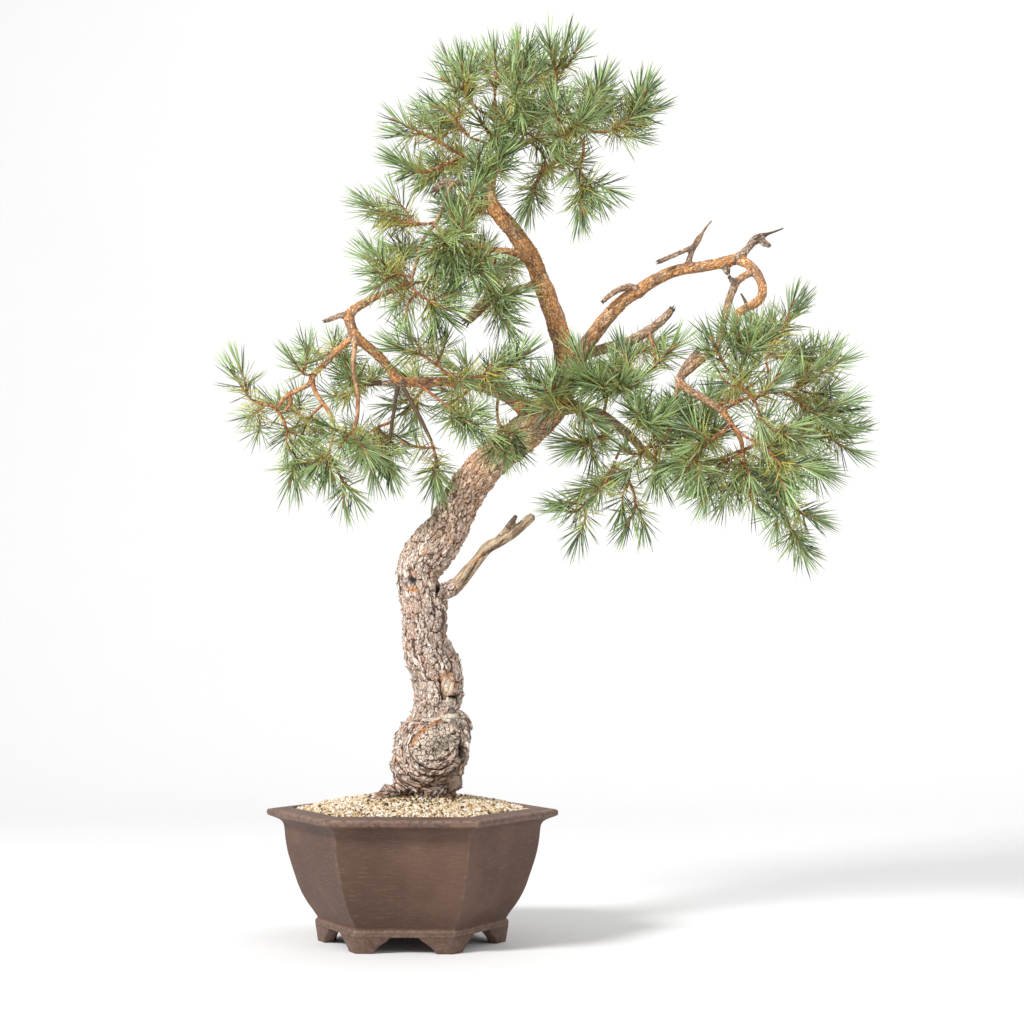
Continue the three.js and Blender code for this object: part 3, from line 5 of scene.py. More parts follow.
import bpy
import numpy as np
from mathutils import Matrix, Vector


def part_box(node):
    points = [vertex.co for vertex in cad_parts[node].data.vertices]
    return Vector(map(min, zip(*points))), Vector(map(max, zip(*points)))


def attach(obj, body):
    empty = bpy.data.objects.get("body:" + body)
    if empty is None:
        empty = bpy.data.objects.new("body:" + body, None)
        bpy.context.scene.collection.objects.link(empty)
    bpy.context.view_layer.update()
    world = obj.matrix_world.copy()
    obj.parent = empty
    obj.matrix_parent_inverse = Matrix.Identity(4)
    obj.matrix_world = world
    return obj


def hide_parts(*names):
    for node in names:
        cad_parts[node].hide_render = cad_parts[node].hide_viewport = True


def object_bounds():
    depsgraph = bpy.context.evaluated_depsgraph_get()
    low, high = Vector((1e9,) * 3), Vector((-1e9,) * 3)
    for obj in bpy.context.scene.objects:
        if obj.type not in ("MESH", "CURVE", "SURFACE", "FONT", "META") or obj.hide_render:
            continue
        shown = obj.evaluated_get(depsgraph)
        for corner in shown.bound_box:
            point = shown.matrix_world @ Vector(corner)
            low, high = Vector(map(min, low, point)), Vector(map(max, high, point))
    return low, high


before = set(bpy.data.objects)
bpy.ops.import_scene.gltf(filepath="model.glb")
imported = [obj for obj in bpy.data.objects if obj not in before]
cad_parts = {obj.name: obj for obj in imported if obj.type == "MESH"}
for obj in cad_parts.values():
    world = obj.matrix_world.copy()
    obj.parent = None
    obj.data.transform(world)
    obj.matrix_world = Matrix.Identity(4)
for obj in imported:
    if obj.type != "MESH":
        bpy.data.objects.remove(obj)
packed_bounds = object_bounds()

# Camera: a long lens 2.4 m in front of the pot, a little above its rim and right of its axis,
# tilted up. All measures of the pot and the tree below are millimetres about the pot's axis.
MM = 0.001
EYE = {"x": 119.0, "distance": 2400.0, "z": 366.0, "tilt": 3.44, "lens": 70.3125}

pot_low, pot_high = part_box("pot")
AXIS = np.array([(pot_low.x + pot_high.x) / 2, (pot_low.y + pot_high.y) / 2, 0.0])


def linked(name, data):
    """A new object in the scene."""
    made = bpy.data.objects.new(name, data)
    bpy.context.scene.collection.objects.link(made)
    return made


camera_data = bpy.data.cameras.new("camera")
camera_data.lens = EYE["lens"]
camera_data.clip_end = 50
camera = linked("camera", camera_data)
camera.location = AXIS + np.array([EYE["x"], -EYE["distance"], EYE["z"]]) * MM
camera.rotation_euler = (math.radians(90 + EYE["tilt"]), 0, 0)
bpy.context.scene.camera = camera
bpy.context.scene.view_settings.view_transform = "Standard"


# Pot: one body of unglazed grey-brown stoneware with a wide flat lip, a moulded band round its
# base and six bracket feet luted on under the corners. Handling has rubbed its edges lighter.
POT_TURN = -2.0
POT_PROFILE = [  # circumradius, height, roundness (1 is a circle), rub of the edge
    (24, 18.5, 1, 0), (60, 18.5, 0.5, 0), (90, 18.5, 0, 0), (112, 18.5, 0, 0.2), (114.2, 19, 0, 0.7),
    (115.3, 20.4, 0, 0.9), (115.5, 22.8, 0, 0.3), (115.3, 25, 0, 0.6), (114.3, 26.6, 0, 0.6),
    (113, 27.3, 0, 0), (112.8, 28.2, 0, 0), (113.6, 29.8, 0, 0), (115.6, 32.6, 0, 0), (118.6, 37, 0, 0),
    (123.6, 43.2, 0, 0), (128, 50, 0, 0), (132.6, 58, 0, 0), (136.6, 67, 0, 0), (140, 77, 0, 0),
    (143, 85.5, 0, 0), (145.6, 93.5, 0, 0), (147.8, 100.5, 0, 0), (149.5, 107, 0, 0), (151, 115, 0, 0),
    (152.2, 123, 0, 0), (152.8, 129, 0, 0), (153.3, 134, 0, 0), (154.2, 138, 0, 0), (156.5, 141.5, 0, 0),
    (160.5, 144, 0, 0), (165.5, 146, 0, 0), (170.5, 147.6, 0, 0.2), (173, 148.6, 0, 0.6),
    (174.2, 149.7, 0, 0.9), (174.5, 151, 0, 0.5), (174.5, 153, 0, 0.5), (174.2, 154.4, 0, 0.9),
    (173, 155.5, 0, 1), (170.8, 156.1, 0, 0.8), (168, 156.4, 0, 0.3), (160, 157.1, 0, 0.1),
    (151, 157.9, 0, 0.2), (148, 158, 0, 0.5), (146.2, 157.6, 0, 0.9), (145.4, 156, 0, 0.7),
    (144.8, 152.5, 0, 0.2), (144.4, 149, 0, 0), (142.8, 130, 0, 0), (140, 108, 0, 0), (131, 82, 0, 0),
    (119, 58, 0, 0), (110, 38, 0, 0), (104, 28, 0, 0), (60, 28, 0.5, 0), (24, 28, 1, 0),
]
POT_FEET = {  # heights of the foot's sections with the length of its two arms there
    "sections": [(21.5, 42), (18.5, 41.2), (15, 37.5), (11.5, 32), (8, 26.8), (4, 22.6), (0, 20)],
    "radius": (115, 112), "thickness": 13, "bevel": 1.1,
}


def node(tree, kind, inputs=None, **settings):
    """Adds a node; inputs maps a socket's name or number to a value or to another node's output."""
    made = tree.nodes.new(kind)
    for key, value in settings.items():
        setattr(made, key, value)
    for key, value in (inputs or {}).items():
        if isinstance(value, bpy.types.NodeSocket):
            tree.links.new(value, made.inputs[key])
        else:
            made.inputs[key].default_value = value
    return made


def calc(tree, operation, *values):
    """The result of one arithmetic operation on values or sockets."""
    return node(tree, "ShaderNodeMath", dict(enumerate(values)), operation=operation).outputs[0]


def times(tree, first, second):
    return calc(tree, "MULTIPLY", first, second)


def plus(tree, first, second):
    return calc(tree, "ADD", first, second)


def ease(tree, value, start, end, low=0.0, high=1.0):
    """A smooth step of value from low at start to high at end."""
    made = node(tree, "ShaderNodeMapRange", {0: value, 1: start, 2: end, 3: low, 4: high},
                interpolation_type="SMOOTHSTEP")
    return made.outputs[0]


def noise(tree, vector, scale, detail=2.0, roughness=0.5):
    """Fractal noise of about 0.5 on average."""
    return node(tree, "ShaderNodeTexNoise", {
        "Vector": vector, "Scale": scale, "Detail": detail, "Roughness": roughness}).outputs[0]


def cells(tree, vector, scale, feature="F1", output=0):
    """One output of a cell pattern."""
    made = node(tree, "ShaderNodeTexVoronoi", {"Vector": vector, "Scale": scale}, feature=feature)
    return made.outputs[output]


def stretched(tree, vector, scale):
    """A vector scaled by three numbers."""
    return node(tree, "ShaderNodeVectorMath", {0: vector, 1: scale}, operation="MULTIPLY").outputs[0]


def tint(code):
    """A hex colour as linear RGBA."""
    parts = [int(code[i:i + 2], 16) / 255 for i in (0, 2, 4)]
    return tuple(p / 12.92 if p <= 0.04045 else ((p + 0.055) / 1.055) ** 2.4 for p in parts) + (1.0,)


def mixed(tree, share, first, second):
    """Two colours, each a hex code or a socket, mixed by share."""
    first, second = (tint(c) if isinstance(c, str) else c for c in (first, second))
    return node(tree, "ShaderNodeMix", {0: share, 6: first, 7: second}, data_type="RGBA").outputs[2]


def stored(tree, name, kind="Fac"):
    """A surface's own stored value in a shader."""
    return node(tree, "ShaderNodeAttribute", attribute_name=name).outputs[kind]


def place(tree):
    """The point in metres in the piece's own frame."""
    return node(tree, "ShaderNodeTexCoord").outputs["Object"]


def finish_of(name, build, roughness=0.8, specular=0.25):
    """A material; build(tree) gives its colour and its relief, or None, with the relief's depth."""
    made = bpy.data.materials.new(name)
    made.use_nodes = True
    tree = made.node_tree
    shader = tree.nodes["Principled BSDF"]
    shader.inputs["Roughness"].default_value = roughness
    shader.inputs["Specular IOR Level"].default_value = specular
    base, height, depth = build(tree)
    tree.links.new(base, shader.inputs["Base Color"])
    if height is not None:
        bump = node(tree, "ShaderNodeBump", {"Height": height, "Distance": depth, "Strength": 1.0})
        tree.links.new(bump.outputs[0], shader.inputs["Normal"])
    return made


def keep_values(mesh, values, domain="POINT"):
    """Stores numbers or vectors by name on the vertices or faces of a mesh."""
    for name, value in values.items():
        value = np.asarray(value, np.float32)
        kind, field = ("FLOAT", "value") if value.ndim == 1 else ("FLOAT_VECTOR", "vector")
        mesh.attributes.new(name, kind, domain).data.foreach_set(field, value.ravel())


def mesh_piece(name, vertices, faces, values=None, sharp=None):
    """A mesh object in the frame, smooth-shaded, with values stored on its vertices."""
    mesh = bpy.data.meshes.new(name)
    mesh.from_pydata(np.asarray(vertices).tolist(), [], [tuple(map(int, f)) for f in faces])
    keep_values(mesh, values or {})
    mesh.shade_smooth()
    if sharp:
        mesh.set_sharp_from_angle(angle=math.radians(sharp))
    return linked(name, mesh)


def applied_mesh(made):
    """An object's mesh with its modifiers applied."""
    return bpy.data.meshes.new_from_object(made.evaluated_get(bpy.context.evaluated_depsgraph_get()))


def hexagon_ring(radius, height, roundness=0.0, per_side=28, softness=240):
    """Points of a level hexagon with softened corners, closer together at the corners."""
    share = np.arange(per_side) / per_side
    share = share - 0.85 * np.sin(2 * np.pi * share) / (2 * np.pi)
    angles = np.radians(60) * (np.arange(6)[:, None] + share[None, :]).ravel()
    sides = np.radians(30 + 60 * np.arange(6))
    nearness = np.clip(np.cos(angles[:, None] - sides[None, :]), 0, 1) ** softness
    reach = radius * math.cos(math.radians(30)) / nearness.sum(1) ** (1 / softness)
    reach = reach * (1 - roundness) + radius * roundness
    angles = angles + math.radians(POT_TURN)
    points = np.stack([reach * np.cos(angles), reach * np.sin(angles), np.full_like(angles, height)], 1)
    return points, nearness.max(1) ** (1 / softness)


def lofted(rings, closed):
    """Vertices and faces of a surface through equal rings; closed joins the last ring to the first."""
    count, around = len(rings), len(rings[0])
    vertices = np.concatenate(rings)
    faces = []
    for i in range(count if closed else count - 1):
        for k in range(around):
            j, m = (i + 1) % count, (k + 1) % around
            faces.append((i * around + k, i * around + m, j * around + m, j * around + k))
    if not closed:
        faces.append(tuple(reversed(range(around))))
        faces.append(tuple((count - 1) * around + k for k in range(around)))
    return vertices, faces


pot_rings, pot_rub = [], []
for radius, height, roundness, rub in POT_PROFILE:
    ring, straightness = hexagon_ring(radius, height, roundness)
    pot_rings.append(ring)
    corner = np.clip((0.874 - straightness) / 0.008, 0, 1) * (1 - roundness)
    pot_rub.append(np.clip(rub + 0.55 * corner * (height < 161) * (radius > 100), 0, 1))
pot_vertices, pot_faces = lofted(pot_rings, closed=True)
pot_values = list(np.concatenate(pot_rub))


def compass(angle):
    """A level direction."""
    return np.array([math.cos(angle), math.sin(angle)])


feet_mesh_vertices, feet_faces = [], []
for k in range(6):
    corner = math.radians(POT_TURN + 60 * k)
    outward = compass(corner)
    arms = [compass(corner + side * 2.0944) for side in (1, -1)]  # at 120 degrees
    inward = [-compass(corner + side * 0.5236) for side in (1, -1)]  # at 30 degrees
    rings = []
    for height, arm in POT_FEET["sections"]:
        radius = np.interp(height, (0, 18.5), POT_FEET["radius"][::-1])
        tip = outward * radius
        thick = POT_FEET["thickness"]
        flat = [tip, tip + arms[0] * arm, tip + arms[0] * arm + inward[0] * thick,
                tip - outward * thick / math.sin(math.radians(60)),
                tip + arms[1] * arm + inward[1] * thick, tip + arms[1] * arm]
        rings.append(np.array([(*p, height) for p in flat]))
    vertices, faces = lofted(rings, closed=False)
    feet_faces += [tuple(i + len(feet_mesh_vertices) for i in reversed(f)) for f in faces]
    feet_mesh_vertices += list(vertices)
feet = mesh_piece("feet", np.array(feet_mesh_vertices) * MM + AXIS, feet_faces)
bevel = feet.modifiers.new("bevel", "BEVEL")
bevel.width, bevel.segments, bevel.limit_method, bevel.angle_limit = POT_FEET["bevel"] * MM, 2, "ANGLE", 0.6
feet_mesh = applied_mesh(feet)
bpy.data.objects.remove(feet)

first = len(pot_vertices)
pot_vertices = np.concatenate([pot_vertices * MM + AXIS, [v.co[:] for v in feet_mesh.vertices]])
pot_faces += [tuple(first + i for i in p.vertices) for p in feet_mesh.polygons]
pot_values += [0.35 if v.co.z < 0.016 else 0.1 for v in feet_mesh.vertices]


def stoneware(tree):
    where = place(tree)
    rub = stored(tree, "rub")
    cloud = noise(tree, where, 14, 4, 0.6)
    speck = noise(tree, where, 700, 2, 0.7)
    brushed = noise(tree, stretched(tree, where, (1, 1, 9)), 70, 4, 0.65)
    pit = cells(tree, where, 420)
    base = mixed(tree, ease(tree, cloud, 0.35, 0.7), "50382c", "62473a")
    base = mixed(tree, ease(tree, brushed, 0.5, 0.72, 0, 0.4), base, "7a6252")
    base = mixed(tree, ease(tree, speck, 0.55, 0.75, 0, 0.35), base, "7d6151")
    base = mixed(tree, ease(tree, speck, 0.44, 0.28, 0, 0.4), base, "3f2c23")
    worn = times(tree, rub, ease(tree, noise(tree, where, 160, 3, 0.7), 0.3, 0.65))
    base = mixed(tree, times(tree, worn, 0.5), base, "a0877a")
    height = plus(tree, times(tree, plus(tree, speck, brushed), 0.6),
                  plus(tree, ease(tree, pit, 0.0, 0.25), noise(tree, where, 90, 3)))
    return base, height, 0.0004


pot = mesh_piece("pot_body", pot_vertices, pot_faces, {"rub": pot_values}, sharp=40)
pot.data.materials.append(finish_of("stoneware", stoneware, roughness=0.62, specular=0.4))
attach(pot, "root")
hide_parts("pot")


# Drainage screen: a square of black plastic mesh that holds the soil back. It is laid loose over the
# hole in the pot's floor before the pot is filled.
def screen_plastic(tree):
    where = place(tree)
    base = mixed(tree, noise(tree, where, 60, 3), "1d1f1e", "2e302e")
    base = mixed(tree, ease(tree, noise(tree, where, 220, 3), 0.52, 0.7, 0, 0.5), base, "7c6c56")
    return base, noise(tree, where, 900, 2), 0.0002


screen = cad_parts["drainage_screen"]
screen.data.materials.clear()
screen.data.materials.append(finish_of("screen_plastic", screen_plastic, roughness=0.55))


# Soil: the bed of mixed grit that fills the pot, heaped up to the trunk and a little lower than
# the rim at the corners.
BED_SIDES = [  # circumradius and height
    (30, 34), (100, 34), (109.5, 42), (118.4, 58), (130.4, 84), (139.3, 110), (142, 130), (143.6, 148)]
BED_HEAP = {"edge": 153.4, "crown": 18.4, "reach": 142.8, "rings": 26}

bed_random = np.random.default_rng(5)
bed_rings = [hexagon_ring(radius, height)[0] for radius, height in BED_SIDES]
for share in np.linspace(1, 0.02, BED_HEAP["rings"]):
    ring, _ = hexagon_ring(BED_HEAP["reach"] * share, 0)
    reach = np.hypot(ring[:, 0], ring[:, 1])
    ring[:, 2] = BED_HEAP["edge"] + BED_HEAP["crown"] * (1 - (reach / BED_HEAP["reach"]) ** 2.2)
    ring[:, 2] += bed_random.normal(0, 0.5, len(ring)) * (share < 0.99)
    bed_rings.append(ring)
bed_vertices, bed_faces = lofted(bed_rings, closed=False)
bed_top = np.clip((bed_vertices[:, 2] - 151) / 2, 0, 1)
tree_foot = {"x": 12, "depth": -25, "reach": 35}
from_foot = np.hypot(bed_vertices[:, 0] - tree_foot["x"], bed_vertices[:, 1] - tree_foot["depth"])
bed_foot = bed_top * np.clip(1.9 - from_foot / tree_foot["reach"], 0, 1)


def bed_grit(tree):
    where = place(tree)
    grain = cells(tree, where, 330, output=1)
    edge = cells(tree, where, 330)
    base = mixed(tree, grain, "8f7c60", "6b5640")
    base = mixed(tree, ease(tree, edge, 0.3, 0.6), base, "5c4a38")
    return base, edge, 0.0015


bed = mesh_piece("bed", bed_vertices * MM + AXIS, bed_faces, {"top": bed_top, "foot": bed_foot})
bed.data.materials.append(finish_of("bed_grit", bed_grit, roughness=0.95))
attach(bed, "root")
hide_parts("soil")


# Gravel: broken cream, ochre and brown grit of 3 to 6 mm with a few dark grains, poured loose over
# the bed.
GRAVEL = {"grains": 6, "spacing": 2.7, "size": (2.6, 6.2), "seed": 11, "density": 400000.0}


def grain_shape(number):
    """A broken grain one metre across, of 20 faces."""
    random = np.random.default_rng(100 + number)
    far = (1 + 5 ** 0.5) / 2
    points = np.array([
        (-1, far, 0), (1, far, 0), (-1, -far, 0), (1, -far, 0), (0, -1, far), (0, 1, far), (0, -1, -far),
        (0, 1, -far), (far, 0, -1), (far, 0, 1), (-far, 0, -1), (-far, 0, 1)]) / 3.8
    faces = [(0, 11, 5), (0, 5, 1), (0, 1, 7), (0, 7, 10), (0, 10, 11), (1, 5, 9), (5, 11, 4), (11, 10, 2),
             (10, 7, 6), (7, 1, 8), (3, 9, 4), (3, 4, 2), (3, 2, 6), (3, 6, 8), (3, 8, 9), (4, 9, 5),
             (2, 4, 11), (6, 2, 10), (8, 6, 7), (9, 8, 1)]
    points = points * random.uniform(0.72, 1.2, (12, 1)) * random.uniform((0.85, 0.75, 0.6), (1.1, 1, 0.9))
    mesh = bpy.data.meshes.new(f"grain_{number}")
    mesh.from_pydata(points.tolist(), [], faces)
    return bpy.data.objects.new(f"grain_{number}", mesh)


def family(name, objects):
    """A collection of shapes to copy from, outside the scene."""
    made = bpy.data.collections.new(name)
    for item in objects:
        made.objects.link(item)
    return made


def node_group(name, sockets):
    """An empty geometry tree with named inputs, given as name: (socket type, value)."""
    tree = bpy.data.node_groups.new(name, "GeometryNodeTree")
    tree.interface.new_socket("Geometry", in_out="INPUT", socket_type="NodeSocketGeometry")
    for key, (kind, value) in sockets.items():
        made = tree.interface.new_socket(key, in_out="INPUT", socket_type="NodeSocket" + kind)
        if value is not None:
            made.default_value = value
    tree.interface.new_socket("Geometry", in_out="OUTPUT", socket_type="NodeSocketGeometry")
    return tree, node(tree, "NodeGroupInput").outputs


def real_with(tree, geometry, material):
    """Plain meshes instead of copies, all with the material."""
    real = node(tree, "GeometryNodeRealizeInstances", {0: geometry}).outputs[0]
    return node(tree, "GeometryNodeSetMaterial", {"Geometry": real, "Material": material}).outputs[0]


def close_group(tree, geometry, material):
    """Ends a geometry tree with plain meshes that carry the material."""
    node(tree, "NodeGroupOutput", {0: real_with(tree, geometry, material)})


def from_mesh(tree, name, kind="FLOAT"):
    """A value that is stored on the mesh, for a geometry tree."""
    return node(tree, "GeometryNodeInputNamedAttribute", {"Name": name}, data_type=kind).outputs[0]


def random_between(tree, low, high, seed):
    """A random number for each point."""
    return node(tree, "FunctionNodeRandomValue", {2: low, 3: high, 8: seed}, data_type="FLOAT").outputs[1]


def scattered(tree, socket, factor, density):
    """Points spread over the group's mesh, no closer than its spacing, fewer where the factor is low."""
    return node(tree, "GeometryNodeDistributePointsOnFaces", {
        "Mesh": socket["Geometry"], "Distance Min": socket["Spacing"], "Density Max": density,
        "Density Factor": factor, "Seed": socket["Seed"]}, distribute_method="POISSON")


def copied_to(tree, points, shapes, rotation, scale, chosen=True):
    """One of the shapes, picked at random, at each chosen point."""
    shapes = node(tree, "GeometryNodeCollectionInfo", {0: shapes, 1: True, 2: True}).outputs[0]
    return node(tree, "GeometryNodeInstanceOnPoints", {
        "Points": points, "Selection": chosen, "Instance": shapes, "Pick Instance": True,
        "Rotation": rotation, "Scale": scale}).outputs[0]


def marked(tree, copies, name, value):
    """Stores a number on each copy."""
    return node(tree, "GeometryNodeStoreNamedAttribute", {"Geometry": copies, "Name": name, "Value": value},
                data_type="FLOAT", domain="INSTANCE").outputs[0]


def grown_by(tree, carrier, name, values=None):
    """The mesh that a geometry tree makes of the carrier, as a new object; the carrier stays as it was."""
    modifier = carrier.modifiers.new("grow", "NODES")
    modifier.node_group = tree
    for item in tree.interface.items_tree:
        if item.item_type == "SOCKET" and item.in_out == "INPUT" and item.name in (values or {}):
            modifier[item.identifier] = values[item.name]
    carrier.update_tag()
    mesh = applied_mesh(carrier)
    carrier.modifiers.remove(modifier)
    mesh.name = name
    return linked(name, mesh)


def grit(tree):
    where = place(tree)
    shade = stored(tree, "shade")
    ramp = node(tree, "ShaderNodeValToRGB", {0: shade})
    ramp.color_ramp.interpolation = "CONSTANT"
    stops = [(0, "e6d7c1"), (0.2, "d6c3a4"), (0.42, "eee4d6"), (0.56, "c4a576"), (0.68, "dac29c"),
             (0.77, "b8935f"), (0.83, "8f6c49"), (0.88, "fbf7ee"), (0.93, "4a3c30")]
    while len(ramp.color_ramp.elements) < len(stops):
        ramp.color_ramp.elements.new(0.5)
    for element, (position, code) in zip(ramp.color_ramp.elements, stops):
        element.position, element.color = position, tint(code)
    darkening = noise(tree, where, 900, 3, 0.6)
    base = mixed(tree, ease(tree, darkening, 0.45, 0.7, 0, 0.45), ramp.outputs[0], "8b6f4d")
    return base, noise(tree, where, 1500, 3), 0.0006


gravel_tree, socket = node_group("scatter_gravel", {
    "Spacing": ("Float", GRAVEL["spacing"] * MM), "Smallest": ("Float", 0.0), "Largest": ("Float", 0.0),
    "Seed": ("Int", GRAVEL["seed"]), "Where": ("String", "top"), "Grains": ("Collection", None),
    "Finish": ("Material", None)})
factor = from_mesh(gravel_tree, socket["Where"])
scatter = scattered(gravel_tree, socket, factor, GRAVEL["density"])
size = random_between(gravel_tree, socket["Smallest"], socket["Largest"], 3)
turn = node(gravel_tree, "FunctionNodeRandomValue", {0: (0, 0, 0), 1: (6.28, 6.28, 6.28), 8: 4},
            data_type="FLOAT_VECTOR").outputs[0]
grains = copied_to(gravel_tree, scatter.outputs[0], socket["Grains"], turn, size)
grains = marked(gravel_tree, grains, "shade", random_between(gravel_tree, 0.0, 1.0, 5))
close_group(gravel_tree, grains, socket["Finish"])

grain_shapes = family("grains", [grain_shape(k) for k in range(GRAVEL["grains"])])
gravel = grown_by(gravel_tree, bed, "gravel", {
    "Smallest": GRAVEL["size"][0] * MM, "Largest": GRAVEL["size"][1] * MM, "Grains": grain_shapes,
    "Finish": finish_of("grit", grit, roughness=0.9)})
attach(gravel, "root")


# Litter: crumbs of fallen bark and tufts of moss, 2 to 4 mm, that have gathered loose on the gravel
# round the foot of the tree.
LITTER = {"spacing": 6.0, "size": (1.8, 4.6), "seed": 4, "lift": 2.2}


def crumbs(tree):
    shade = stored(tree, "shade")
    base = mixed(tree, ease(tree, shade, 0.0, 0.6), "3a2a20", "7c5d44")
    base = mixed(tree, ease(tree, shade, 0.68, 0.72), base, "6f7a35")
    return base, noise(tree, place(tree), 1500, 3), 0.0006


litter = grown_by(gravel_tree, bed, "litter", {
    "Spacing": LITTER["spacing"] * MM, "Smallest": LITTER["size"][0] * MM,
    "Largest": LITTER["size"][1] * MM, "Seed": LITTER["seed"], "Where": "foot",
    "Grains": grain_shapes, "Finish": finish_of("crumbs", crumbs, roughness=0.95)})
for vertex in litter.data.vertices:
    vertex.co.z += LITTER["lift"] * MM
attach(litter, "root")


# Tree: the old stump with its coil, lobe and roots, the trunk, its dead branch, the leader and the
# boughs, one growth of wood. Limbs are (x, depth, height, radius) along their centre lines, x and
# height as they appear from the front.
TRUNK = [
    (19, -2, 163, 30), (20, -2, 176, 32), (18, -2, 184, 34), (16, -3, 194, 37.5), (18, -4, 204, 41.5),
    (20, -6, 215, 43.5),
    (22.5, -7, 227, 44.5), (24.5, -7, 240, 42), (29, -2, 249, 32), (31, 2, 257, 28),
    (28, 3, 264, 28.5), (25.5, 4, 272, 26), (27, 4, 279, 25), (30, 4, 287, 28), (31.5, 5, 298, 29),
    (30, 5, 312, 29.5),
    (26, 4, 325, 30), (20, 2, 339, 29), (15, 0, 354, 27), (14, 0, 369, 26), (15, 0, 385, 26.5),
    (13, -2, 401, 27), (9, -3, 416, 25), (6, -3, 431, 23.5), (9, -2, 447, 26), (19, 0, 461, 29),
    (32, 3, 477, 27), (43, 5, 492, 24.5), (49, 6, 507, 23.5), (57, 7, 523, 23), (68, 8, 541, 23),
    (84, 9, 562, 22), (104, 10, 582, 22), (127, 10, 600, 22), (149, 10, 619, 21), (166, 10, 635, 19),
]
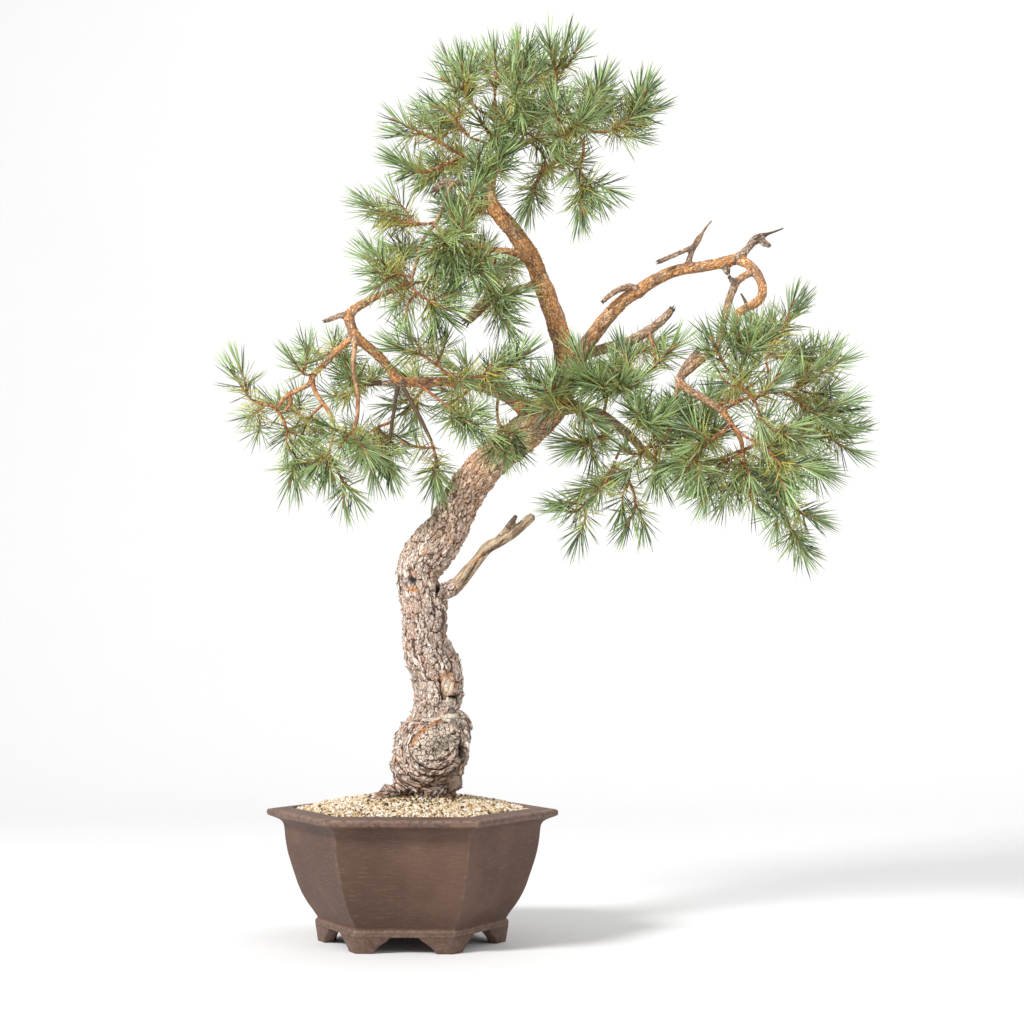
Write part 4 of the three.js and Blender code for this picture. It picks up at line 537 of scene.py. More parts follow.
BOUGHS = {
    "coil": [(-19, -4, 207, 8), (-12, -24, 201, 11), (6, -37, 199, 12.5), (28, -43, 204, 12.5),
        (47, -37, 216, 12), (59, -21, 234, 10.5), (60, -8, 251, 9)],
    "fold": [(-16, -4, 226, 6), (-13.5, -19, 237, 6.5), (2, -36, 245, 6.5), (20, -37, 252, 6),
        (36, -30, 260, 5.5)],
    "scar": [(5, -36, 225, 10), (25, -42, 235, 14), (45, -34, 246, 10)],
    "left_shard": [(-10, -12, 226, 5.6), (-15.5, -13, 234, 4.8), (-18.5, -13, 240, 3.8),
        (-18, -13, 245.5, 2.6),
        (-15.5, -13, 249, 1)],
    "ledge": [(37, -24, 258, 6), (43, -29, 263, 6), (51, -22, 263, 6)],
    "right_shard": [(57, -6, 269, 4.5), (64, -8, 263, 4), (68, -8, 257, 3.4), (69.5, -8, 251, 3)],
    "lobe": [(36, 2, 277, 10), (44, -4, 288, 13), (46, -4, 301, 13.5), (42, 2, 316, 11)],
    "knot": [(34, -10, 192, 15), (45, -20, 187, 12.5), (50, -24, 186, 11)],
    "root": [(2, -18, 188, 15), (-13, -25, 182, 11.5), (-22, -28, 177, 8), (-30, -29, 176, 9.2),
        (-37, -30, 171.5, 6),
        (-44, -30, 169, 7)],
    "jin": [(16, -4, 404, 15), (30, -9, 411, 12), (41, -12, 416, 10.5), (54, -15, 424, 9),
        (68, -16, 441, 8), (79, -17, 454, 6.9), (89, -17, 467, 7.4), (104, -16, 475, 6.9),
        (119, -14, 484, 6.4), (130, -12, 493, 6), (140, -10, 502, 6), (144, -10, 505, 5)],
    "jin_spur": [(104, -14, 478, 5), (112, -16, 488, 4.6), (119, -18, 498, 3.8), (124, -20, 506, 2.2)],
    "leader": [(160, 10, 629, 19), (177, 10, 650, 16.5), (186, 11, 674, 14), (186, 12, 695, 13),
        (181, 14, 714, 12.5), (175, 16, 730, 12.5), (171, 18, 746, 12.3), (165, 20, 761, 11.8),
        (160, 20, 776, 12), (153, 20, 792, 11), (148, 19, 807, 10.6), (140, 17, 823, 11.2),
        (130, 15, 838, 10.8), (119, 12, 854, 10.4), (105, 8, 870, 10), (94, 5, 886, 8.6), (92, 4, 902, 7.4),
        (94, 4, 920, 7), (101, 4, 938, 6.4), (105, 5, 955, 5.4), (103, 6, 975, 4.8), (101, 8, 992, 4),
        (98, 10, 1010, 3)],
    "leader_stub": [(153, 20, 788, 6), (136, 16, 784, 4), (118, 10, 779, 3.8), (101, 5, 771, 5),
        (86, 2, 762, 6.4), (74, 0, 751, 6.8), (65, -2, 742, 5.6)],
    "dead_pole": [(180, 16, 652, 5), (177, 27, 672, 4), (174, 32, 692, 3.8), (172, 33, 710, 3.4),
        (171, 33, 724, 2.5)],
    "front_twig": [(140, 16, 814, 6), (130, -6, 822, 5), (119, -22, 826, 4.4), (102, -30, 828, 4),
        (86, -34, 830, 3.5), (72, -36, 834, 2.8)],
    "crown_limb": [(102, 4, 945, 5.4), (122, 2, 956, 4.8), (143, -2, 963, 4.2), (160, -6, 969, 3.6),
        (178, -10, 973, 3), (200, -12, 974, 2.4), (222, -12, 973, 1.9)],
    "pale_branch": [(92, 5, 895, 4.4), (79, -8, 904, 4), (64, -24, 909, 3.6), (48, -34, 909, 3.2),
        (42, -37, 900, 2.8), (38, -37, 888, 2.6), (33, -36, 874, 2.6), (26, -35, 861, 2.6),
        (15, -35, 847, 2.5), (9, -34, 835, 2.5), (6, -33, 822, 2.4), (1, -32, 806, 2.3),
        (-2, -31, 795, 2.1),
        (-2, -30, 784, 1.9)],
    "pale_side": [(25, -35, 859, 2.4), (33, -38, 852, 2.4), (43, -42, 847, 2)],
    "dark_stub": [(52, -32, 909, 4.5), (42, -28, 911, 5), (32, -26, 907, 6), (26, -25, 901, 4.5)],
    "left_bough": [(148, 14, 620, 14), (126, 26, 642, 9.6), (104, 34, 655, 8.2), (78, 34, 663, 7),
        (50, 27, 667, 6.4), (22, 16, 668, 6), (-4, 6, 667, 6), (-18, 0, 670, 6.4), (-28, -6, 683, 5.8),
        (-42, -14, 699, 6), (-56, -22, 711, 6.2), (-69, -28, 722, 7), (-75, -30, 734, 6.4),
        (-78, -31, 746, 6.6), (-73, -31, 755, 6), (-62, -30, 762, 5.4), (-50, -28, 769, 4.8),
        (-36, -24, 775, 4), (-20, -18, 781, 3.2), (-7, -12, 790, 2.2)],
    "left_stub": [(-77, -31, 750, 5), (-90, -33, 748, 3.8), (-99, -34, 744.5, 3.5), (-106, -34, 742, 3.2)],
    "left_twig": [(-72, -29, 725, 5.4), (-84, -34, 713, 4.4), (-96, -36, 702, 4), (-106, -36, 690, 3.8),
        (-117, -34, 680, 3.6), (-124, -32, 671, 3.2)],
    "left_outer": [(-121, -33, 675, 3.6), (-126, -31, 665, 3.4), (-136, -29, 659, 3.2), (-149, -26, 653, 3),
        (-158, -22, 645, 2.8), (-163, -20, 637, 2.4)],
    "left_curl": [(-149, -26, 653, 2.6), (-148, -24, 641, 2.3), (-155, -24, 633, 1.8)],
    "left_inner": [(-122, -32, 674, 3.2), (-120, -30, 660, 2.8), (-113, -30, 647, 2.6),
        (-104, -32, 635, 2.4), (-97, -35, 620, 2.2), (-97, -37, 604, 2.1), (-100, -38, 589, 1.8)],
    "left_middle": [(-72, -28, 724, 5), (-71, -42, 708, 3), (-73, -50, 690, 2.7), (-71, -54, 672, 2.6),
        (-67, -56, 655, 2.6), (-67, -58, 640, 2.6), (-68, -60, 622, 2.4), (-72, -64, 610, 2)],
    "left_low": [(-14, 0, 668, 5), (-32, 4, 666, 3.8), (-46, 6, 666, 3.2), (-56, 6, 664, 2.4)],
    "left_down": [(-17, 0, 672, 4), (-21, -6, 650, 2.4), (-23, -10, 634, 2.2), (-26, -14, 616, 2.1),
        (-28, -18, 600, 2), (-34, -24, 590, 1.8)],
    "left_right": [(-18, 0, 670, 4.6), (-8, -6, 653, 2.8), (1, -10, 637, 2.6), (9, -14, 623, 2.4),
        (16, -16, 608, 2.2), (22, -18, 596, 1.9)],
    "right_bough": [(163, 10, 632, 14), (188, 9, 637, 9), (208, 8, 634, 7.4), (229, 5, 626, 6.6),
        (245, 2, 615, 6.2), (263, 0, 600, 5.6), (280, -5, 582, 5), (292, -5, 572, 4.2), (312, 5, 566, 3.6),
        (335, 20, 562, 3.2), (358, 35, 556, 2.4)],
    "high_bough": [(182, 11, 664, 12), (200, 12, 700, 9.5), (221, 14, 729, 9.5), (234, 16, 746, 9.1),
        (251, 17, 764, 8.5), (271, 17, 778, 8), (295, 15, 793, 7.6), (318, 13, 803, 7.3), (343, 10, 807, 7),
        (366, 6, 811, 6.8), (386, 3, 816, 7), (398, 0, 820, 6.2)],
    "high_tip": [(393, 0, 817, 6.5), (404, 0, 830, 4.6), (412, 0, 839, 5.2), (420, 0, 844, 5),
        (429, 0, 848, 1.9), (438, 0, 851, 1.3), (448, 0, 855, 0.8)],
    "high_knob": [(417, 0, 842, 4), (423, -3, 838, 4.6), (430, -5, 834, 3.8)],
    "loop_outer": [(392, 1, 817, 6.4), (405, -8, 811, 6.1), (415, -16, 800, 6), (421, -22, 788, 5.6),
        (422, -28, 775, 5.6), (415, -34, 764, 5.6), (403, -40, 758, 5.3), (393, -46, 751, 4.8),
        (388, -54, 738, 4.2), (391, -62, 720, 3.4), (397, -70, 702, 2.2)],
    "loop_inner": [(412, -14, 802, 4.6), (401, -16, 797, 4.8), (392, -18, 790, 4.8), (386, -20, 779, 4.8),
        (381, -24, 765, 4.8), (378, -28, 752, 4.8), (374, -33, 737, 4.2), (371, -38, 722, 4.3),
        (366, -42, 709, 4.5), (352, -48, 698, 5), (334, -60, 683, 5.1), (320, -71, 670, 5.3),
        (331, -76, 659, 5.1), (350, -78, 647, 4.6), (368, -77, 636, 4.3), (376, -76, 630, 3.7)],
    "loop_knob": [(374, 5, 815, 6), (378, 4, 806, 5), (380, 3, 801, 4)],
    "loop_stub": [(389, -19, 785, 4.4), (386, -22, 791, 4.2), (383, -24, 794, 3)],
    "loop_spur": [(405, -38, 757, 3), (400, -34, 768, 1.7), (396, -33, 775, 1.1)],
    "high_left": [(274, 17, 775, 6), (266, 12, 782, 4.7), (258, 8, 783, 4.2), (245, 4, 778, 3.9),
        (236, 2, 772, 3.6), (230, 0, 766, 3)],
    "high_twig": [(330, 12, 803, 5), (334, 10, 818, 3.4), (338, 8, 829, 3.4), (342, 6, 836, 3.8),
        (346, 5, 843, 3.8), (350, 5, 849, 1.8), (355, 4, 857, 1.4), (361, 3, 864, 1)],
    "high_side": [(341, 7, 834, 3.2), (328, 4, 827.5, 3.2), (312, 0, 820.5, 3.2), (298, -4, 814.5, 3.6)],
    "broken_bough": [(184, 11, 684, 11), (206, 22, 700, 7.3), (224, 25, 706, 6.8), (259, 24, 716, 6.3),
        (281, 22, 728, 6), (300, 20, 742, 5.6), (311, 18, 754, 4.8)],
    "elbow_stub": [(322, -68, 674, 5), (328, -58, 686, 4.6), (336, -52, 696, 4.5), (343, -48, 705, 3.6)],
    "elbow_twig": [(320, -71, 670, 3.4), (317, -70, 650, 2.2), (314, -66, 632, 2.1), (310, -62, 614, 2),
        (304, -58, 596, 1.7)],
    "right_low_twig": [(374, -76, 631, 4.6), (385, -74, 614, 3.6), (394, -69, 599, 3),
        (397, -66, 585, 2.3)],
}
ROUGH = ("trunk", "coil", "fold", "scar", "left_shard", "ledge", "right_shard", "lobe", "knot", "root")
DEAD = ("jin", "jin_spur")
WEATHERED_AND_SHADED = {  # how grey the bark of dead stubs is, with painted shade that darkens twigs, knobs and stubs in shadow
    "jin": 0.75, "jin_spur": 0.95, "dead_pole": 0.9, "dark_stub": 1.0, "high_tip": 0.9, "high_knob": 1.0,
    "loop_knob": 1.0, "loop_stub": 1.0, "loop_spur": 1.0, "loop_inner": 0.3, "left_shard": 0.95,
    "pale_branch": 0.7, "pale_side": 0.7, "high_twig": 0.8, "high_side": 0.8, "high_left": 0.6,
    "left_stub": 0.7, "elbow_stub": 0.6, "elbow_twig": 0.6, "leader_stub": 0.3, "broken_bough": 0.6,
    "left_down": 0.9, "left_right": 0.9, "left_low": 0.9, "right_bough": 0.7, "crown_limb": 0.5,
    "left_middle": 0.5,
}
BROKEN = ("root", "jin", "jin_spur", "leader_stub", "dead_pole", "left_stub", "high_left", "broken_bough",
          "high_side", "elbow_stub", "loop_stub", "dark_stub")
# Marks on the front of the wood, each as x, height, half width, half height and tilt in degrees: the
# end of the root (cut), orange inner bark (strip), bared wood (pale), a worn patch (smooth), pits and
# deep clefts painted near black as their shade (hole), dark patches of painted shadow with some soil
# dirt, at the foot of the stump, in its hollows, under the neck and down the trunk's right side
# (darkening), and the face that the folds have grown round (scar).
MARKS = {
    "cut": [(-39, 174, 6, 5, 0)],
    "strip": [(3.5, 237, 9, 1.5, 58), (14, 248, 9, 1.4, 36), (26, 256, 9, 1.4, 32), (35, 262, 7, 1.8, 60),
              (41.5, 305, 9.6, 14.6, 8), (0, 417, 8, 3, -15), (79, 455, 12, 1.2, 40)],
    "pale": [(45, 265, 11, 6.5, -12), (42, 303, 6.4, 11, 8)],
    "smooth": [(51, 188, 10, 10, 0)],
    "hole": [(-2, 428.5, 6.6, 6.2, 20), (31, 424, 2, 16, -10), (33, 303, 1.4, 12, 8),
             (48, 199.5, 13, 3, 42), (59, 222, 2.8, 17, 8), (36, 289, 2.4, 9, 20), (52, 288, 9, 2.2, -10),
             (68, 434, 23, 1.3, 60), (93, 463, 15, 1.2, 33)],
    "darkening": [(-8, 247, 11, 2.2, 34), (12, 256, 12, 2.2, 22), (16, 178, 34, 8, 0), (-14, 171, 18, 5, 10),
              (38, 190, 10, 9, 0), (58, 222, 6, 24, 8), (37, 384, 4.5, 38, 0)],
    "scar": [(27, 235, 29, 18, 25)],
}
WOOD = {"voxel": 1.85, "thinnest": 2.9, "step": 3.0, "smoothing": 2}
# Heights between which the folds of the stump sweep round its scar, and the scar's centre.
STUMP = {"foot": 174, "front_top": 266, "back_top": 262, "scar_x": 28, "scar_height": 235}
# How far each kind of relief stands out of the bark, or goes into it.
RELIEF = {"plates": 2.2, "flakes": 1.6, "grain": 2.0, "hole": 6.0, "folds": 1.6, "roll": 3.0}


def placed(points):
    """Rows of x, depth and height as seen from the front (and a radius), moved to their place in metres."""
    points = np.array(points, float)
    scale = 1 + points[:, 1] / EYE["distance"]
    points[:, 0] = EYE["x"] + (points[:, 0] - EYE["x"]) * scale
    points[:, 2] = EYE["z"] + (points[:, 2] - EYE["z"]) * scale
    points[:, 3:] *= scale[:, None]
    points *= MM
    points[:, :3] += AXIS
    return points


def curve_through(rows, step):
    """Rows of numbers on a smooth curve through the given rows, about a step apart."""
    rows = np.asarray(rows, float)
    ends = np.vstack([2 * rows[0] - rows[1], rows, 2 * rows[-1] - rows[-2]])
    made = []
    for a, b, c, d in zip(ends, ends[1:], ends[2:], ends[3:]):
        count = max(1, round(np.linalg.norm((c - b)[:3]) / step))
        t = (np.arange(count) / count)[:, None]
        made.append(0.5 * (2 * b + (c - a) * t + (2 * a - 5 * b + 4 * c - d) * t ** 2
                           + (3 * b - a - 3 * c + d) * t ** 3))
    return np.vstack([*made, rows[-1]])


def unit(vectors):
    """The vectors at length one."""
    return vectors / np.maximum(np.linalg.norm(vectors, axis=-1, keepdims=True), 1e-12)


def frames_along(points):
    """Tangent, normal and binormal at each point of a line, turning as little as possible."""
    tangents = unit(np.gradient(points, axis=0))
    normal = np.cross(tangents[0], (0, 1, 0) if abs(tangents[0][1]) < 0.8 else (1, 0, 0))
    normals = []
    for tangent in tangents:
        normal = unit(normal - tangent * normal.dot(tangent))
        normals.append(normal)
    normals = np.array(normals)
    return tangents, normals, np.cross(tangents, normals)


def tube(rows, sides, broken=False):
    """A closed tube along rows of x, y, z and radius; its far end is domed, or splintered where broken."""
    points, radii = rows[:, :3], rows[:, 3]
    tangents, normals, binormals = frames_along(points)
    angles = 2 * np.pi * np.arange(sides) / sides
    round_ = np.cos(angles)[:, None, None] * normals + np.sin(angles)[:, None, None] * binormals
    rings = [points[i] + radii[i] * round_[:, i] for i in range(len(points))]
    jagged = 0.9 * np.sin(angles * 3 + rows[0, 0] * 900)[:, None] * np.sin(angles * 5)[:, None]
    domed, splintered = ((0.5, 0.85), (0.85, 0.45)), ((0.25 + jagged, 0.92), (0.3, 0.5))
    for end, sign in ((0, -1), (-1, 1)):
        for reach, width in splintered if broken and sign > 0 else domed:
            outward = tangents[end] * sign * reach * radii[end]
            ring = points[end] + outward + width * radii[end] * round_[:, end]
            rings = [ring, *rings] if sign < 0 else [*rings, ring]
    return lofted(rings, closed=False)


def splinters(line, seed):
    """Thin torn fibres that stand up from the broken end of a limb."""
    random = np.random.default_rng(seed)
    tangents, normals, binormals = frames_along(line[:, :3])
    radius, taper, made = line[-1, 3], ((0, 0.3), (0.5, 0.22), (1, 0.05)), []
    for angle in np.arange(5) * 1.26 + random.uniform(-0.4, 0.4, 5):
        out = math.cos(angle) * normals[-1] + math.sin(angle) * binormals[-1]
        root = line[-1, :3] + out * radius * 0.5
        tip = root + (tangents[-1] + out * random.uniform(-0.1, 0.4)) * radius * random.uniform(0.9, 1.8)
        rows = [(*(root * (1 - t) + tip * t), radius * width) for t, width in taper]
        made.append(np.column_stack([rows, np.full(3, 0.9)]))
    return made


# Columns of the bones: the points of all centre lines, their directions and the values of their bark.
BONE = {
    "place": slice(0, 3), "radius": 3, "tangent": slice(4, 7), "normal": slice(7, 10),
    "binormal": slice(10, 13), "length": 13, "rough": 14, "dead": 15, "grey": 16,
}
limbs = {"trunk": placed(TRUNK), **{name: placed(rows) for name, rows in BOUGHS.items()}}
wood_vertices, wood_faces, bones = [], [], []
bare_twigs = []
for name, rows in limbs.items():
    line = curve_through(rows, WOOD["step"] * MM)
    thick = np.flatnonzero(line[:, 3] >= WOOD["thinnest"] * MM)
    last = thick[-1] if len(thick) else -1
    if last < len(line) - 2:
        tail = line[max(0, last - 4):]
        bare_twigs.append(np.column_stack([tail, np.full(len(tail), WEATHERED_AND_SHADED.get(name, 0.2))]))
    if last < 2:
        continue
    line = line[:last + 1]
    vertices, faces = tube(line, 20 if line[0, 3] > 0.02 else 12, name in BROKEN)
    wood_faces += [tuple(i + len(wood_vertices) for i in f) for f in faces]
    wood_vertices += list(vertices)
    if name in BROKEN and "jin" not in name:
        bare_twigs += splinters(line, len(bones))
    length = np.concatenate([[0], np.cumsum(np.linalg.norm(np.diff(line[:, :3], axis=0), axis=1))])
    grey = np.full(len(line), WEATHERED_AND_SHADED.get(name, 0.0) * (name != "jin"))
    rough = np.full(len(line), float(name in ROUGH)) + 0.5 * grey
    if name == "trunk":
        rough = np.interp(line[:, 2], (0.43, 0.61), (1.0, 0.2))
    dead = np.full(len(line), float(name in DEAD))
    if name == "jin":
        dead = np.interp(length, (0.036, 0.05), (0, 1))
        rough = 1 - dead
    offset = np.full(len(line), 0.37 * (1 + list(limbs).index(name)))
    bones.append(np.column_stack([line, *frames_along(line[:, :3]), length + offset, rough, dead, grey]))
bones = np.vstack(bones)

# The limbs fuse into one skin.
blank = mesh_piece("blank", wood_vertices, wood_faces)
remesh = blank.modifiers.new("one_skin", "REMESH")
remesh.mode, remesh.voxel_size = "VOXEL", WOOD["voxel"] * MM
soften = blank.modifiers.new("soften", "SMOOTH")
soften.factor, soften.iterations = 0.5, WOOD["smoothing"]
skin = applied_mesh(blank)
bpy.data.objects.remove(blank)

points, normals = np.zeros((2, len(skin.vertices) * 3))
skin.vertices.foreach_get("co", points)
skin.vertex_normals.foreach_get("vector", normals)
points, normals = points.reshape(-1, 3), normals.reshape(-1, 3)
# Each point of the skin takes its values from the limb whose surface is nearest.
nearest = np.empty(len(points), int)
for start in range(0, len(points), 4000):
    chunk = points[start:start + 4000]
    square = (chunk ** 2).sum(1)[:, None] + (bones[:, :3] ** 2).sum(1)[None] - 2 * chunk @ bones[:, :3].T
    gap = np.sqrt(square.clip(0))
    nearest[start:start + 4000] = np.argmin(gap - bones[None, :, BONE["radius"]], axis=1)
bone = {key: bones[nearest][:, columns] for key, columns in BONE.items()}
offset = points - bone["place"]
unrolled = np.column_stack([(offset * bone["normal"]).sum(1), (offset * bone["binormal"]).sum(1),
                            (offset * bone["tangent"]).sum(1) + bone["length"]]) / MM

# On the stump the grain turns round the scar in front and slants behind.
flat = (points - AXIS) / MM
flat_scale = 1 + flat[:, 1] / EYE["distance"]
front_x = EYE["x"] + (flat[:, 0] - EYE["x"]) / flat_scale
front_z = EYE["z"] + (flat[:, 2] - EYE["z"]) / flat_scale
facing = np.clip(-normals[:, 1] * 2, 0, 1)
swirl = np.array([front_x - STUMP["scar_x"], front_z - STUMP["scar_height"]])
above_foot = np.clip((front_z - STUMP["foot"]) / 8, 0, 1)
sweep = facing * np.clip((STUMP["front_top"] - front_z) / 8, 0, 1) * above_foot
round_scar = np.column_stack([-swirl[1], np.zeros(len(points)), swirl[0]])
heading = np.where((sweep > 0.4)[:, None], unit(round_scar), bone["tangent"])
polar = np.column_stack([np.hypot(*swirl), flat[:, 1] * 0.7, np.arctan2(swirl[0], -swirl[1]) * 30])
unrolled = np.where((sweep > 0.4)[:, None], polar, unrolled)
behind = np.clip(normals[:, 1] * 2, 0, 1) * np.clip((STUMP["back_top"] - front_z) / 8, 0, 1) * above_foot
slanted = np.column_stack([front_z + front_x * 0.5, flat[:, 1] * 0.7, front_x - front_z * 0.5])
unrolled = np.where((behind > 0.4)[:, None], slanted, unrolled)
heading = np.where((behind > 0.4)[:, None], unit(np.array([1.0, 0, -0.5])), heading)
wood_values = {
    "bark": unrolled, "girth": bone["radius"] / MM, "rough": bone["rough"], "dead": bone["dead"],
    "grey": bone["grey"], "along": heading, "strips": np.clip(sweep + behind, 0, 1),
    "front": np.column_stack([front_x, flat[:, 1], front_z])}
for kind, spots in MARKS.items():
    weight = np.zeros(len(points))
    for x, z, half_x, half_z, tilt in spots:
        cosine, sine = compass(math.radians(tilt))
        across = ((front_x - x) * cosine + (front_z - z) * sine) / half_x
        up = (-(front_x - x) * sine + (front_z - z) * cosine) / half_z
        seen = np.clip(-flat[:, 1] / 6 - 0.5, 0, 1) if kind == "pale" else facing
        weight = np.maximum(weight, np.clip(1.6 - 1.2 * np.hypot(across, up), 0, 1) * seen)
    wood_values[kind] = weight


def minus(tree, first, second):
    return calc(tree, "SUBTRACT", first, second)


def rest_of(tree, share):
    """What a share leaves of one."""
    return minus(tree, 1.0, share)


def fold_wave(tree, where, grain):
    """Ripples, from -1 to 1, of the rolls that sweep round the old scar."""
    across = node(tree, "ShaderNodeSeparateXYZ", {0: where}).outputs[0]
    bend = times(tree, noise(tree, where, 0.05, 3), 6.0)
    phase = plus(tree, times(tree, across, 0.62), plus(tree, bend, grain))
    return calc(tree, "SINE", phase)


def bark_pattern(tree, where):
    """Gap depth, plate lift, flake lift and fine grain of bark at an unrolled place in millimetres."""
    warp = node(tree, "ShaderNodeTexNoise", {"Vector": where, "Scale": 0.12, "Detail": 3.0}).outputs[1]
    warp = node(tree, "ShaderNodeVectorMath", {0: warp, 1: (0.5, 0.5, 0.5)}, operation="SUBTRACT").outputs[0]
    warp = stretched(tree, warp, (7, 7, 9))
    bent = node(tree, "ShaderNodeVectorMath", {0: where, 1: warp}, operation="ADD").outputs[0]
    long = stretched(tree, bent, (1, 1, 0.5))
    gap = ease(tree, cells(tree, long, 0.11, "DISTANCE_TO_EDGE"), 0.015, 0.1)
    plate = cells(tree, long, 0.11, output=1)
    flake_edge = ease(tree, cells(tree, long, 0.34, "DISTANCE_TO_EDGE"), 0.0, 0.2)
    flake = cells(tree, long, 0.34, output=1)
    grain = noise(tree, stretched(tree, bent, (1, 1, 0.6)), 0.5, 5, 0.65)
    split = node(tree, "ShaderNodeSeparateXYZ", {0: plate}).outputs
    split_flake = node(tree, "ShaderNodeSeparateXYZ", {0: flake}).outputs
    return {"gap": gap, "plate": split[0], "tone": split[1], "edge": flake_edge, "flake": split_flake[0],
            "shade": split_flake[1], "grain": grain}


relief, socket = node_group("bark_relief", {
    "Plates": ("Float", 0.0), "Flakes": ("Float", 0.0), "Grain": ("Float", 0.0),
    "Finish": ("Material", None)})
value = {key: from_mesh(relief, key) for key in ("girth", "rough", "dead", "hole", "scar", "strips")}
value["bark"] = from_mesh(relief, "bark", "FLOAT_VECTOR")
pattern = bark_pattern(relief, value["bark"])
size = ease(relief, value["girth"], 3, 20, 0.34, 1.0)
size = times(relief, size, ease(relief, value["rough"], 0, 1, 0.6, 1.0))
size = times(relief, size, ease(relief, value["dead"], 0, 1, 1.0, 0.35))
plates = times(relief, pattern["gap"], plus(relief, pattern["plate"], 0.6))
plates = times(relief, minus(relief, plates, 0.9), socket["Plates"])
plates = times(relief, plates, ease(relief, value["rough"], 0.1, 0.8, 0.4, 1.0))
flakes = times(relief, pattern["edge"], plus(relief, pattern["flake"], 0.3))
flakes = times(relief, minus(relief, flakes, 0.5), socket["Flakes"])
fine = times(relief, minus(relief, pattern["grain"], 0.5), socket["Grain"])
height = plus(relief, plus(relief, plates, flakes), fine)
height = times(relief, height, size)
height = minus(relief, height, times(relief, value["hole"], RELIEF["hole"] * MM))
folds = times(relief, fold_wave(relief, value["bark"], pattern["grain"]), value["strips"])
folds = times(relief, folds, rest_of(relief, ease(relief, value["scar"], 0.0, 0.5)))
height = plus(relief, height, times(relief, folds, RELIEF["folds"] * MM))
roll = times(relief, ease(relief, value["scar"], 0.0, 0.25), ease(relief, value["scar"], 0.7, 0.3))
height = plus(relief, height, times(relief, roll, RELIEF["roll"] * MM))
normal = node(relief, "GeometryNodeInputNormal").outputs[0]
shift = node(relief, "ShaderNodeVectorMath", {0: normal, "Scale": height}, operation="SCALE").outputs[0]
moved = node(relief, "GeometryNodeSetPosition", {"Geometry": socket["Geometry"], "Offset": shift})
close_group(relief, moved.outputs[0], socket["Finish"])


